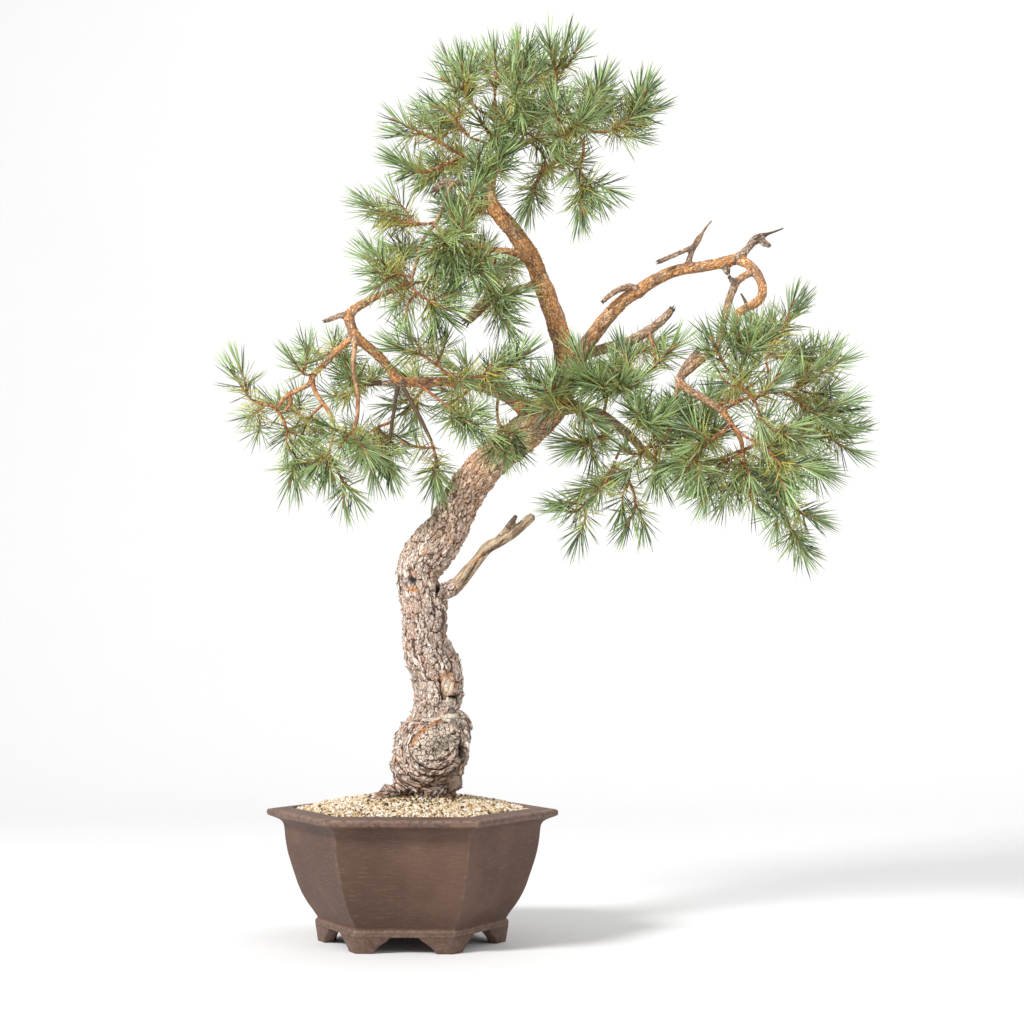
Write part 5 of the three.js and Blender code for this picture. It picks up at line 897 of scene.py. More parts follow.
def bark(tree):
    where = stored(tree, "bark", "Vector")
    pattern = bark_pattern(tree, where)
    rough, dead, grey = (stored(tree, key) for key in ("rough", "dead", "grey"))
    cloud = noise(tree, where, 0.035, 3, 0.6)
    old = mixed(tree, pattern["tone"], "bda999", "e6d8cb")
    old = mixed(tree, ease(tree, cloud, 0.45, 0.65, 0, 0.7), old, "d8af94")
    old = mixed(tree, times(tree, pattern["shade"], 0.6), old, "ece2d8")
    young = mixed(tree, pattern["tone"], "e89c58", "ffc78a")
    patch = mixed(tree, pattern["shade"], "74645a", "c4b5a8")
    young = mixed(tree, ease(tree, cloud, 0.49, 0.55, 0, 0.85), young, patch)
    peel = noise(tree, stretched(tree, where, (1, 1, 0.4)), 0.5, 5, 0.72)
    young = mixed(tree, ease(tree, peel, 0.52, 0.42, 0, 0.85), young, "bf6a30")
    # Grey for weather-worn limbs, and painted shade for limbs that sit in shadow.
    young = mixed(tree, grey, young, mixed(tree, pattern["shade"], "65564a", "a8988a"))
    young = mixed(tree, ease(tree, peel, 0.4, 0.35, 0, 0.9), young, "4b3829")
    # Painted shade with dark bark: the greyest stubs and knobs, under the boughs, are darkened to near black
    # brown.
    darkest = mixed(tree, pattern["shade"], "382d26", "6e6056")
    young = mixed(tree, ease(tree, grey, 0.92, 1.0), young, darkest)
    young = mixed(tree, times(tree, pattern["shade"], 0.5), young, "fbcf9c")
    base = mixed(tree, rough, young, old)
    streak = noise(tree, stretched(tree, where, (1, 1, 0.06)), 0.9, 4, 0.6)
    bone = mixed(tree, ease(tree, streak, 0.35, 0.65), "95795e", "d9c5a6")
    bone = mixed(tree, ease(tree, streak, 0.45, 0.36, 0, 0.85), bone, "4f3b2c")
    bone = mixed(tree, ease(tree, cloud, 0.52, 0.6, 0, 0.6), bone, "6f5643")
    base = mixed(tree, dead, base, bone)
    living = rest_of(tree, dead)
    crack = times(tree, rest_of(tree, pattern["gap"]), living)
    base = mixed(tree, times(tree, crack, ease(tree, rough, 0.1, 0.8, 0.25, 0.88)), base, "3a281d")
    rim = times(tree, rest_of(tree, pattern["edge"]), living)
    base = mixed(tree, times(tree, rim, ease(tree, rough, 0.0, 0.8, 0.55, 0.75)), base, "6a4630")
    base = mixed(tree, ease(tree, pattern["grain"], 0.45, 0.28, 0, 0.6), base, "4e3a2e")
    # Painted shade: the grooves between the rolls that sweep round the scar are darkened.
    fold = ease(tree, fold_wave(tree, where, pattern["grain"]), -0.55, -0.95)
    base = mixed(tree, times(tree, fold, times(tree, stored(tree, "strips"), 0.8)), base, "3a281d")
    # Painted shadow, with some soil dirt: dark patches at the foot of the stump, in its hollows, under the
    # neck and down the trunk's right side.
    darkening = mixed(tree, pattern["tone"], "3d2b22", "6b5144")
    base = mixed(tree, times(tree, stored(tree, "darkening"), 0.75), base, darkening)
    maze = cells(tree, stored(tree, "front", "Vector"), 0.2, "DISTANCE_TO_EDGE")
    maze = ease(tree, plus(tree, maze, times(tree, pattern["grain"], 0.12)), 0.08, 0.16)
    face = mixed(tree, maze, "3f2d22", mixed(tree, pattern["grain"], "bfa58c", "f6e9da"))
    base = mixed(tree, ease(tree, stored(tree, "scar"), 0.2, 0.6), base, face)
    for mark, share, dark, light in (
            ("smooth", 1.0, "8d7466", "cbb3a4"), ("strip", 1.0, "a4602f", "e0a066"),
            ("cut", 1.0, "64493a", "a98468"), ("pale", 0.9, "e0cfb4", "fff6e6")):
        marking = mixed(tree, pattern["grain"], dark, light)
        base = mixed(tree, times(tree, stored(tree, mark), share), base, marking)
    # Painted shade: pits and deep clefts are coloured near black as well as pressed into the wood.
    base = mixed(tree, times(tree, stored(tree, "hole"), 0.9), base, "1f1712")
    height = plus(tree, pattern["grain"], times(tree, pattern["edge"], 0.6))
    return base, height, 0.0012


keep_values(skin, wood_values)
skin_carrier = linked("skin", skin)
bark_finish = finish_of("bark", bark, roughness=0.85, specular=0.2)
wood = grown_by(relief, skin_carrier, "wood", {
    "Plates": RELIEF["plates"] * MM, "Flakes": RELIEF["flakes"] * MM, "Grain": RELIEF["grain"] * MM,
    "Finish": bark_finish})
wood.data.shade_smooth()
bpy.data.objects.remove(skin_carrier)
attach(wood, "root")
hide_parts("tree")


# Bark scales: thin papery plates that lift and curl off the wood, 4 to 12 mm long on the old trunk
# and 2 to 7 mm on the boughs, where they are mostly orange. They stay fixed along their lower edge.
SCALES = {  # the turns are in radians about a scale's own axes
    "shapes": 6, "density": 250000.0, "turns": {"Z": (-0.35, 0.35), "Y": (-0.36, 0.1), "X": (-0.3, 0.3)},
    "trunk": {"spacing": 3.4, "size": (3.6, 12.0), "girth": (15, 99), "seed": 99},
    "boughs": {"spacing": 3.5, "size": (2.0, 7.2), "girth": (4.3, 15), "seed": 15},
}


def bark_scale(number):
    """A ragged chip one metre long, domed, thin, with one end curled up."""
    random = np.random.default_rng(300 + number)
    sides = 8
    angles = 2 * np.pi * (np.arange(sides) + random.uniform(-0.35, 0.35, sides)) / sides
    reach = random.uniform(0.27, 0.6, sides)
    x, y = reach * np.cos(angles), reach * np.sin(angles) * random.uniform(0.36, 0.66)
    curl = 0.5 * np.clip(x, 0, 1) ** 2 + random.uniform(-0.02, 0.02, sides)
    top = np.column_stack([x, y, curl])
    low = np.column_stack([x * 0.9, y * 0.9, curl - 0.07 - 0.05 * random.random(sides)])
    points = np.vstack([top, low, [[random.uniform(-0.1, 0.1), 0, 0.02]]])
    faces = []
    for k in range(sides):
        m = (k + 1) % sides
        faces += [(k, m, 2 * sides), (sides + k, sides + m, m, k)]
    mesh = bpy.data.meshes.new(f"scale_{number}")
    mesh.from_pydata(points.tolist(), [], faces)
    # rim: 0 in the middle, 0.3 on the top edge and 1 on the low rim, for the painted shade down the chip's
    # edge
    keep_values(mesh, {"rim": [0.3] * sides + [1.0] * sides + [0.0]})
    return bpy.data.objects.new(f"scale_{number}", mesh)


def scale_bark(tree):
    where = place(tree)
    shade, fresh, grey = (stored(tree, key) for key in ("shade", "fresh", "grey"))
    cloud = noise(tree, where, 45, 3, 0.6)
    old = mixed(tree, shade, "ac9887", "efe3d8")
    old = mixed(tree, ease(tree, cloud, 0.45, 0.62, 0, 0.75), old, "cda489")
    old = mixed(tree, ease(tree, fresh, 0.86, 0.98, 0, 0.8), old, "c58458")
    young = mixed(tree, shade, "c9743a", "ffd9a8")
    young = mixed(tree, ease(tree, plus(tree, fresh, times(tree, cloud, 0.8)), 0.85, 1.0), young,
                  mixed(tree, shade, "5f5248", "a99b8d"))
    # Grey for weather-worn bark and painted shade for chips on limbs in shadow; the greyest are painted near
    # black brown.
    young = mixed(tree, grey, young, mixed(tree, shade, "6a5b4f", "b8a899"))
    young = mixed(tree, ease(tree, grey, 0.92, 1.0), young, mixed(tree, shade, "382d26", "75675c"))
    base = mixed(tree, stored(tree, "rough"), young, old)
    mottle = noise(tree, where, 700, 3, 0.7)
    base = mixed(tree, ease(tree, mottle, 0.55, 0.75, 0, 0.5), base, "f1e8dd")
    base = mixed(tree, ease(tree, mottle, 0.45, 0.28, 0, 0.75), base, "4a362a")
    # Painted shade with dark cracks: each chip darkens down its edge to the low rim where it meets the wood.
    base = mixed(tree, ease(tree, stored(tree, "rim"), 0.3, 1.0, 0, 0.75), base, "46321f")
    return base, noise(tree, where, 1100, 3), 0.0006


def larger(tree, first, second):
    return calc(tree, "MAXIMUM", first, second)


peel_tree, socket = node_group("bark_scales", {
    "Spacing": ("Float", 0.0), "Smallest": ("Float", 0.0), "Largest": ("Float", 0.0), "Seed": ("Int", 0),
    "Thinnest": ("Float", 0.0), "Thickest": ("Float", 0.0),
    "Scales": ("Collection", None), "Finish": ("Material", None)})
value = {key: from_mesh(peel_tree, key) for key in (
    "girth", "dead", "hole", "scar", "strip", "pale", "cut", "smooth", "strips", "rough")}
value.update({key: from_mesh(peel_tree, key, "FLOAT_VECTOR") for key in ("along", "bark")})
bare = larger(peel_tree, value["dead"], value["hole"])
for key in ("scar", "strip", "pale", "cut", "smooth"):
    bare = larger(peel_tree, bare, value[key])
inside = times(peel_tree, calc(peel_tree, "GREATER_THAN", value["girth"], socket["Thinnest"]),
              calc(peel_tree, "LESS_THAN", value["girth"], socket["Thickest"]))
cover = times(peel_tree, inside, ease(peel_tree, bare, 0.35, 0.08))
plate = ease(peel_tree, bark_pattern(peel_tree, value["bark"])["gap"], 0.3, 0.8)
plate = larger(peel_tree, plate, rest_of(peel_tree, value["rough"]))
cover = times(peel_tree, cover, larger(peel_tree, plate, 0.3))
scatter = scattered(peel_tree, socket, cover, SCALES["density"])


def turned(tree, rotation, axis, angle):
    """A rotation with a further turn about one of its own axes."""
    euler = node(tree, "ShaderNodeCombineXYZ", {axis: angle}).outputs[0]
    step = node(tree, "FunctionNodeEulerToRotation", {0: euler}).outputs[0]
    made = node(tree, "FunctionNodeRotateRotation", {0: rotation, 1: step}, rotation_space="LOCAL")
    return made.outputs[0]


facing = node(peel_tree, "FunctionNodeAlignRotationToVector", {"Vector": scatter.outputs[1]}, axis="Z")
facing = node(peel_tree, "FunctionNodeAlignRotationToVector", {
    "Rotation": facing.outputs[0], "Vector": value["along"]}, axis="X", pivot_axis="Z").outputs[0]
for axis in "ZYX":
    low, high = SCALES["turns"][axis]
    facing = turned(peel_tree, facing, axis, random_between(peel_tree, low, high, ord(axis)))
share = calc(peel_tree, "POWER", random_between(peel_tree, 0.0, 1.0, 3), 1.8)
size = node(peel_tree, "ShaderNodeMapRange", {
    0: share, 1: 0.0, 2: 1.0, 3: socket["Smallest"], 4: socket["Largest"]}).outputs[0]
size = node(peel_tree, "ShaderNodeCombineXYZ", {
    0: times(peel_tree, size, ease(peel_tree, value["strips"], 0.0, 1.0, 1.0, 1.7)),
    1: times(peel_tree, size, ease(peel_tree, value["strips"], 0.0, 1.0, 1.0, 0.7)),
    2: size}).outputs[0]
chips = copied_to(peel_tree, scatter.outputs[0], socket["Scales"], facing, size)
for key, seed in (("shade", 5), ("fresh", 6)):
    chips = marked(peel_tree, chips, key, random_between(peel_tree, 0.0, 1.0, seed))
close_group(peel_tree, chips, socket["Finish"])

scale_finish = finish_of("scale_bark", scale_bark, roughness=0.85, specular=0.2)
scale_shapes = family("scales", [bark_scale(k) for k in range(SCALES["shapes"])])
for part in ("trunk", "boughs"):
    (smallest, largest), (thinnest, thickest) = SCALES[part]["size"], SCALES[part]["girth"]
    scales = grown_by(peel_tree, wood, part + "_scales", {
        "Spacing": SCALES[part]["spacing"] * MM, "Smallest": smallest * MM, "Largest": largest * MM,
        "Seed": SCALES[part]["seed"], "Thinnest": float(thinnest), "Thickest": float(thickest),
        "Scales": scale_shapes, "Finish": scale_finish})
    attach(scales, "root")


# Bare twigs: the thin ends of the boughs and of the dead branches, which carry no needles, and the
# torn fibres on broken stubs. They have grown as part of the tree.
def line_piece(name, lines, values):
    """An object of bare edges along lines of x, y, z and radius, with more values by column."""
    points, edges, first = np.vstack(lines), [], 0
    for line in lines:
        edges += [(first + i, first + i + 1) for i in range(len(line) - 1)]
        first += len(line)
    mesh = bpy.data.meshes.new(name)
    mesh.from_pydata(points[:, :3].tolist(), edges, [])
    keep_values(mesh, {key: points[:, at] for key, at in {"thickness": 3, **values}.items()})
    return linked(name, mesh)


def round_stems(tree, edges, sides):
    """Tubes along edges, as thick as their stored thickness."""
    line = node(tree, "GeometryNodeMeshToCurve", {0: edges}).outputs[0]
    ring = node(tree, "GeometryNodeCurvePrimitiveCircle", {"Resolution": sides, "Radius": 1.0}).outputs[0]
    made = node(tree, "GeometryNodeCurveToMesh", {
        "Curve": line, "Profile Curve": ring, "Scale": from_mesh(tree, "thickness"), "Fill Caps": True})
    return line, made.outputs[0]


def twig_bark(tree):
    where = place(tree)
    patch = noise(tree, where, 90, 4, 0.6)
    base = mixed(tree, ease(tree, patch, 0.4, 0.6), "a5683c", "d09a68")
    grey = stored(tree, "grey")
    # Grey for weather-worn twigs and painted shade for twigs in shadow, which are painted dark brown at the
    # top of the scale.
    base = mixed(tree, grey, base, mixed(tree, ease(tree, patch, 0.35, 0.6), "6d5a4a", "a8937d"))
    base = mixed(tree, ease(tree, grey, 0.82, 0.9), base, mixed(tree, patch, "3f2f25", "75604f"))
    base = mixed(tree, ease(tree, noise(tree, where, 300, 3), 0.5, 0.7, 0, 0.8), base, "5a4536")
    return base, noise(tree, where, 500, 3), 0.0006


twig_tree, socket = node_group("bare_twigs", {"Sides": ("Int", 8), "Finish": ("Material", None)})
_, stems = round_stems(twig_tree, socket["Geometry"], socket["Sides"])
close_group(twig_tree, stems, socket["Finish"])
carrier = line_piece("twig_lines", bare_twigs, {"grey": 4})
twig_finish = finish_of("twig_bark", twig_bark, roughness=0.8)
twigs = grown_by(twig_tree, carrier, "bare_twigs", {"Finish": twig_finish})
twigs.data.shade_smooth()
bpy.data.objects.remove(carrier)
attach(twigs, "root")


# Needle sprays: leafy stems with needles in pairs, set in a spiral, longest and blue-green round
# the reddish bud at each tip and shorter and yellower behind it. Each spray starts on a twig or at
# the end of a bough; its shoots branch again into shorter ones.
SPRAYS = {
    "crown_left": ([(93, 4, 915), (80, -4, 929), (66, -9, 940)], [
        [(65, -9, 941), (40, -14, 955), (20, -16, 966), (0, -18, 976), (-17, -20, 985)],
        [(60, -10, 944), (40, -18, 934), (20, -24, 925), (10, -26, 923), (-1, -28, 928), (-12, -31, 934)],
        [(62, -10, 943), (52, 14, 936), (38, 42, 928), (22, 70, 920)],
    ]),
    "crown_middle": ([(103, 5, 950), (86, -8, 960), (68, -18, 966)], [
        [(67, -19, 967), (58, -22, 978), (50, -25, 989), (42, -28, 997), (30, -30, 1003)],
        [(60, -21, 975), (50, 8, 980), (34, 36, 986), (16, 62, 990)],
    ]),
    "crown_upper": ([(103, 6, 980), (91, -10, 993), (79, -22, 1000)], [
        [(78, -23, 1001), (66, -27, 1012), (61, -30, 1024), (60, -33, 1040), (58, -35, 1054)],
        [(61, -30, 1025), (50, -34, 1028), (41, -38, 1034)],
        [(70, -26, 1008), (66, 0, 1024), (58, 26, 1040), (50, 46, 1050)],
    ]),
    "crown_top": ([(99, 9, 1004), (98, 11, 1016)], [
        [(98, 11, 1017), (99, 12, 1034), (100, 12, 1050), (98, 12, 1066)],
        [(98, 12, 1026), (88, 26, 1046), (76, 38, 1064)],
        [(99, 12, 1030), (112, 34, 1046), (124, 54, 1060)],
    ]),
    "crown_face_top": ([(103, 6, 972), (110, -18, 988), (116, -36, 1004)], [
        [(117, -38, 1006), (124, -42, 1024), (128, -44, 1046), (127, -48, 1074)],
        [(120, -40, 1015), (122, -66, 1014), (123, -88, 1020)],
    ]),
    "crown_top_right": ([(148, -3, 965), (160, -16, 990), (169, -24, 1012)], [
        [(170, -25, 1014), (173, -30, 1036), (177, -36, 1056), (183, -42, 1077)],
        [(173, -30, 1034), (172, -42, 1050), (170, -52, 1066)],
        [(171, -26, 1018), (158, 4, 1032), (148, 30, 1048)],
    ]),
    "crown_face": ([(170, -9, 971), (180, -28, 966), (187, -46, 963)], [
        [(187, -47, 963), (182, -75, 976), (175, -98, 990), (170, -114, 1004)],
        [(184, -62, 970), (198, -78, 984), (208, -90, 998)],
    ]),
    "crown_right": ([(186, -11, 973), (195, -15, 979)], [
        [(196, -15, 980), (207, -20, 994), (215, -24, 1008), (223, -27, 1021), (228, -30, 1031)],
        [(207, -20, 994), (216, 2, 1004), (222, 28, 1012), (224, 50, 1018)],
        [(202, -18, 988), (208, 12, 984), (218, 40, 990), (230, 66, 1000)],
    ]),
    "crown_far_right": ("crown_limb", [
        [(223, -12, 973), (240, -12, 975), (256, -14, 983), (268, -17, 991), (279, -20, 995),
         (288, -24, 999)],
        [(262, -15, 987), (269, -14, 1002), (274, -14, 1020)],
        [(246, -12, 977), (258, 14, 984), (268, 36, 992)],
    ]),
    "crown_hang_right": ([(192, -12, 974), (205, -20, 962), (206, -26, 952)], [
        [(206, -27, 951), (203, -32, 934), (201, -38, 916), (203, -44, 900), (205, -48, 881)],
        [(203, -36, 922), (214, -26, 908), (222, -18, 896)],
    ]),
    "crown_hang_left": ([(140, -2, 962), (154, -12, 950), (160, -16, 940)], [
        [(160, -17, 938), (152, -20, 918), (145, -24, 904), (142, -26, 894), (140, -30, 884)],
        [(158, -18, 932), (164, 8, 930), (166, 36, 928), (164, 60, 926)],
        [(164, 10, 930), (178, 20, 942), (190, 34, 950)],
    ]),
    "crown_heart": ([(93, 4, 912), (88, -16, 914), (83, -34, 916)], [
        [(82, -36, 916), (79, -56, 922), (76, -74, 932)],
        [(82, -40, 917), (96, -56, 930), (106, -70, 944)],
    ]),
    "crown_behind": ([(103, 6, 968), (110, 22, 972), (114, 36, 976)], [
        [(114, 37, 977), (126, 60, 990), (134, 84, 1006)],
        [(118, 44, 981), (104, 70, 990), (94, 96, 1000)],
        [(122, 52, 985), (146, 70, 988), (166, 88, 996)],
    ]),
    "crown_low_back": ([(104, 8, 870), (96, 26, 872), (88, 38, 874)], [
        [(87, 39, 874), (66, 50, 878), (44, 60, 886)],
        [(82, 42, 875), (86, 70, 882), (94, 96, 892)],
        [(78, 44, 876), (64, 76, 868), (50, 102, 862)],
    ]),
    "shelf_outer": ([(27, -35, 863), (17, -33, 860)], [
        [(16, -33, 860), (0, -30, 861), (-20, -28, 866), (-33, -27, 873), (-42, -26, 880), (-51, -26, 884)],
        [(6, -31, 860), (-6, -8, 858), (-20, 16, 860), (-34, 36, 864)],
    ]),
    "shelf_left": ([(-2, -31, 796), (-8, -32, 797)], [
        [(-9, -32, 797), (-26, -32, 801), (-40, -31, 808), (-53, -30, 817)],
        [(-20, -32, 799), (-32, -46, 792), (-42, -58, 784)],
        [(-14, -32, 798), (-22, -4, 806), (-30, 22, 816)],
    ]),
    "shelf_low": ("pale_branch", [
        [(-1, -30, 781), (8, -36, 773), (20, -42, 766), (32, -46, 759), (43, -50, 757)],
        [(4, -33, 776), (-6, -40, 764), (-9, -46, 750)],
        [(18, -41, 767), (24, -36, 754), (26, -32, 742)],
    ]),
    "shelf_face": ("pale_side", [
        [(45, -43, 846), (50, -56, 836), (53, -70, 822)],
        [(47, -48, 842), (34, -62, 834), (22, -74, 828)],
    ]),
    "shelf_front": ("front_twig", [
        [(71, -36, 834), (62, -40, 826), (54, -44, 812), (48, -48, 798)],
        [(63, -40, 827), (74, -56, 816), (82, -70, 802)],
        [(66, -38, 830), (62, -50, 850), (64, -58, 874), (68, -68, 889), (72, -80, 901)],
    ]),
    "shelf_inner": ([(104, -29, 828), (100, -14, 820), (98, -2, 812)], [
        [(98, -1, 811), (92, 14, 800), (88, 30, 788)],
        [(96, 4, 808), (84, 30, 820), (72, 54, 832)],
        [(95, 6, 806), (106, 34, 806), (114, 62, 810)],
    ]),
    "leader_low": ([(112, 8, 777), (102, -2, 788), (92, -11, 792)], [
        [(91, -12, 791), (92, -18, 778), (95, -24, 765), (101, -28, 752), (110, -32, 742)],
        [(92, -18, 778), (104, -32, 776), (116, -44, 770)],
    ]),
    "shelf_back": ([(9, -34, 835), (8, -18, 832), (6, -4, 830)], [
        [(6, -3, 830), (-6, 20, 828), (-20, 42, 832)],
        [(3, 3, 829), (18, 26, 820), (34, 48, 814)],
    ]),
    "shelf_tip": ([(-20, -18, 781), (-10, -8, 786), (-2, 2, 788)], [
        [(-1, 3, 788), (14, 18, 790), (30, 30, 798)],
        [(2, 6, 789), (-8, 34, 782), (-18, 60, 780)],
    ]),
    "left_outer_spray": ("left_outer", [
        [(-164, -20, 636), (-182, -20, 641), (-196, -20, 647), (-206, -20, 660), (-214, -21, 673)],
        [(-168, -20, 637), (-158, -17, 624), (-152, -16, 608), (-146, -16, 590), (-142, -17, 570),
         (-147, -20, 551)],
        [(-178, -20, 640), (-188, 2, 632), (-198, 24, 626)],
    ]),
    "left_top": ([(-120, -33, 676), (-130, -33, 676)], [
        [(-131, -33, 676), (-137, -36, 682), (-143, -38, 690)],
        [(-135, -35, 680), (-129, -46, 690), (-128, -54, 702)],
    ]),
    "left_face": ("left_low", [
        [(-57, 6, 664), (-66, 0, 667), (-74, -8, 671), (-77, -22, 673)],
        [(-62, 3, 665), (-72, 32, 656), (-84, 58, 648)],
        [(-64, 10, 663), (-54, 38, 668), (-50, 64, 676)],
    ]),
    "left_front": ("left_middle", [
        [(-72, -65, 609), (-79, -80, 602), (-86, -98, 592)],
        [(-75, -71, 606), (-66, -84, 596), (-58, -96, 584)],
    ]),
    "left_hang": ("left_inner", [
        [(-100, -38, 588), (-102, -42, 572), (-97, -46, 556)],
        [(-101, -40, 580), (-92, -32, 562), (-84, -28, 544), (-83, -26, 524)],
        [(-100, -39, 584), (-112, -26, 572), (-122, -14, 560)],
    ]),
    "left_fringe": ("left_down", [
        [(-36, -25, 590), (-48, -30, 591), (-62, -34, 590)],
        [(-46, -29, 591), (-50, -34, 578), (-48, -38, 562)],
        [(-38, -26, 590), (-32, -38, 576), (-27, -48, 562)],
    ]),
    "left_behind": ([(-80, -32, 718), (-90, -12, 710), (-94, 4, 706)], [
        [(-94, 5, 706), (-97, 20, 708), (-96, 36, 716)],
        [(-96, 10, 706), (-112, 26, 696), (-128, 42, 692)],
        [(-96, 16, 707), (-82, 38, 694), (-72, 58, 684)],
    ]),
    "left_back": ([(-25, -13, 620), (-34, 6, 616), (-40, 22, 614)], [
        [(-40, 23, 614), (-56, 44, 604), (-72, 64, 594)],
        [(-44, 28, 612), (-32, 52, 600), (-20, 74, 590)],
        [(-42, 26, 613), (-44, 28, 596), (-48, 30, 576)],
    ]),
    "left_middle_spray": ([(-108, -31, 641), (-116, -18, 634), (-122, -8, 628)], [
        [(-122, -7, 628), (-130, 10, 614), (-136, 26, 598)],
        [(-124, -3, 625), (-116, 24, 620), (-112, 50, 612)],
        [(-127, 3, 620), (-140, 26, 630), (-154, 46, 640)],
    ]),
    "centre_top": ([(48, 26, 667), (44, 4, 674), (42, -16, 676)], [
        [(42, -18, 676), (26, -24, 690), (10, -29, 700), (-4, -34, 705), (-15, -38, 709)],
        [(40, -19, 678), (58, -28, 674), (80, -34, 674), (104, -38, 680), (120, -42, 689), (133, -46, 700)],
        [(28, -23, 688), (34, -10, 702), (38, 0, 714)],
    ]),
    "centre_front": ([(2, 8, 667), (18, -24, 656), (36, -50, 642)], [
        [(37, -52, 641), (52, -78, 630), (65, -106, 619)],
        [(49, -73, 632), (68, -86, 620), (84, -98, 610)],
    ]),
    "centre_hang": ("left_right", [
        [(22, -18, 595), (27, -22, 578), (30, -28, 562), (32, -34, 548)],
        [(24, -20, 588), (8, -26, 588), (-6, -30, 592)],
    ]),
    "centre_low": ([(104, 34, 655), (101, 0, 638), (102, -30, 618)], [
        [(103, -32, 617), (112, -52, 608), (122, -74, 605)],
        [(106, -38, 614), (100, -58, 598), (96, -74, 586)],
    ]),
    "centre_dark": ([(210, 8, 633), (206, -14, 640), (196, -30, 641)], [
        [(195, -31, 641), (180, -38, 640), (165, -42, 644), (152, -42, 650), (144, -42, 659),
         (140, -44, 670)],
        [(178, -39, 640), (172, -50, 656), (168, -60, 670)],
        [(190, -34, 641), (202, -48, 628), (214, -60, 620)],
    ]),
    "centre_curve": ([(284, 22, 730), (291, 0, 705), (292, -20, 686)], [
        [(292, -21, 685), (280, -26, 678), (260, -28, 672), (242, -32, 667), (226, -36, 665),
         (213, -42, 670), (206, -48, 680), (203, -54, 693)],
        [(262, -28, 673), (258, -16, 690), (252, -6, 706)],
        [(284, -24, 680), (298, -34, 694), (310, -44, 706)],
    ]),
    "centre_back": ([(96, 34, 658), (90, 50, 662), (84, 62, 664)], [
        [(84, 63, 664), (68, 80, 674), (50, 96, 684)],
        [(81, 66, 666), (94, 92, 676), (104, 116, 686)],
        [(80, 68, 667), (60, 84, 652), (44, 100, 640)],
    ]),
    "centre_back_left": ([(30, 20, 668), (24, 40, 664), (18, 54, 660)], [
        [(18, 55, 660), (4, 74, 668), (-12, 92, 676)],
        [(14, 60, 662), (2, 78, 646), (-10, 94, 632)],
    ]),
    "broken_back": ([(252, 25, 714), (256, 42, 706), (258, 56, 700)], [
        [(258, 57, 700), (244, 76, 690), (230, 94, 682)],
        [(256, 60, 698), (274, 80, 704), (290, 100, 708)],
    ]),
    "under_left": ([(245, 2, 615), (237, 8, 604)], [
        [(236, 9, 603), (222, 8, 600), (212, 9, 597), (200, 10, 595), (190, 12, 597)],
        [(212, 9, 600), (214, 4, 588), (218, 0, 577)],
        [(224, 8, 601), (226, 32, 598), (228, 56, 594)],
    ]),
    "under_low": ([(262, 0, 601), (250, -6, 586), (244, -8, 574)], [
        [(243, -8, 572), (238, -10, 556), (228, -13, 542), (215, -16, 528), (203, -18, 516),
         (192, -20, 510), (183, -22, 512)],
        [(241, -9, 566), (255, -6, 556), (263, -6, 540), (267, -8, 526), (266, -10, 512), (258, -12, 496)],
        [(240, -10, 560), (232, 14, 552), (226, 38, 544)],
    ]),
    "under_right": ([(288, -5, 575), (296, -18, 584), (297, -28, 590)], [
        [(296, -29, 590), (284, -34, 588), (274, -38, 582), (264, -44, 580), (256, -50, 585)],
        [(290, -32, 590), (292, -44, 572), (290, -54, 549)],
    ]),
    "under_face": ([(263, 0, 600), (266, -24, 610), (268, -38, 614)], [
        [(268, -40, 615), (270, -58, 622), (271, -80, 630)],
        [(269, -48, 618), (288, -58, 624), (304, -66, 632)],
    ]),
    "elbow_spray": ([(382, -75, 619), (380, -82, 611)], [
        [(379, -83, 610), (364, -86, 601), (350, -88, 589), (340, -90, 576), (332, -92, 565),
         (324, -94, 556)],
        [(356, -87, 595), (346, -98, 604), (336, -108, 612)],
    ]),
    "right_hang": ("right_low_twig", [
        [(397, -66, 584), (399, -68, 564), (402, -72, 545), (406, -76, 528), (413, -82, 516)],
        [(397, -66, 580), (380, -68, 574), (368, -70, 567), (361, -72, 554), (357, -75, 541),
         (352, -80, 528)],
        [(398, -67, 572), (390, -48, 556), (382, -32, 540), (374, -18, 524)],
    ]),
    "right_heart": ([(385, -74, 614), (396, -86, 604), (404, -92, 599)], [
        [(405, -93, 598), (420, -96, 592), (432, -99, 580), (440, -101, 571), (448, -104, 563),
         (460, -108, 555)],
        [(424, -97, 588), (438, -88, 592), (452, -78, 590)],
    ]),
    "right_upper": ([(364, -77, 639), (388, -80, 645), (402, -84, 648), (406, -92, 651)], [
        [(406, -94, 652), (399, -101, 658), (386, -104, 673), (375, -104, 689), (368, -109, 703),
         (362, -114, 716)],
        [(402, -98, 656), (414, -98, 640), (421, -98, 621), (434, -104, 610), (448, -109, 604),
         (464, -114, 600)],
        [(409, -91, 644), (424, -100, 656), (436, -108, 670)],
    ]),
    "right_out": ([(372, -76, 633), (398, -64, 646), (424, -46, 653), (440, -34, 655)], [
        [(441, -33, 655), (470, -30, 664), (490, -28, 676), (502, -26, 684), (513, -26, 692)],
        [(447, -33, 656), (462, -38, 645), (480, -42, 635), (492, -44, 629), (503, -45, 628),
         (516, -46, 632)],
        [(466, -30, 663), (472, -8, 676), (478, 14, 692), (484, 32, 708)],
        [(456, -31, 659), (468, -6, 650), (482, 18, 644), (494, 40, 642)],
    ]),
    "right_rise": ([(424, -46, 653), (429, -40, 675), (426, -35, 692)], [
        [(426, -34, 694), (433, -34, 712), (445, -36, 728), (461, -40, 751)],
        [(429, -34, 702), (446, -20, 698), (464, -8, 704)],
        [(432, -34, 709), (426, -8, 722), (420, 18, 736)],
    ]),
    "loop_end": ("loop_outer", [
        [(398, -71, 700), (404, -84, 708), (404, -98, 724)],
        [(400, -75, 702), (388, -88, 712), (378, -98, 726)],
    ]),
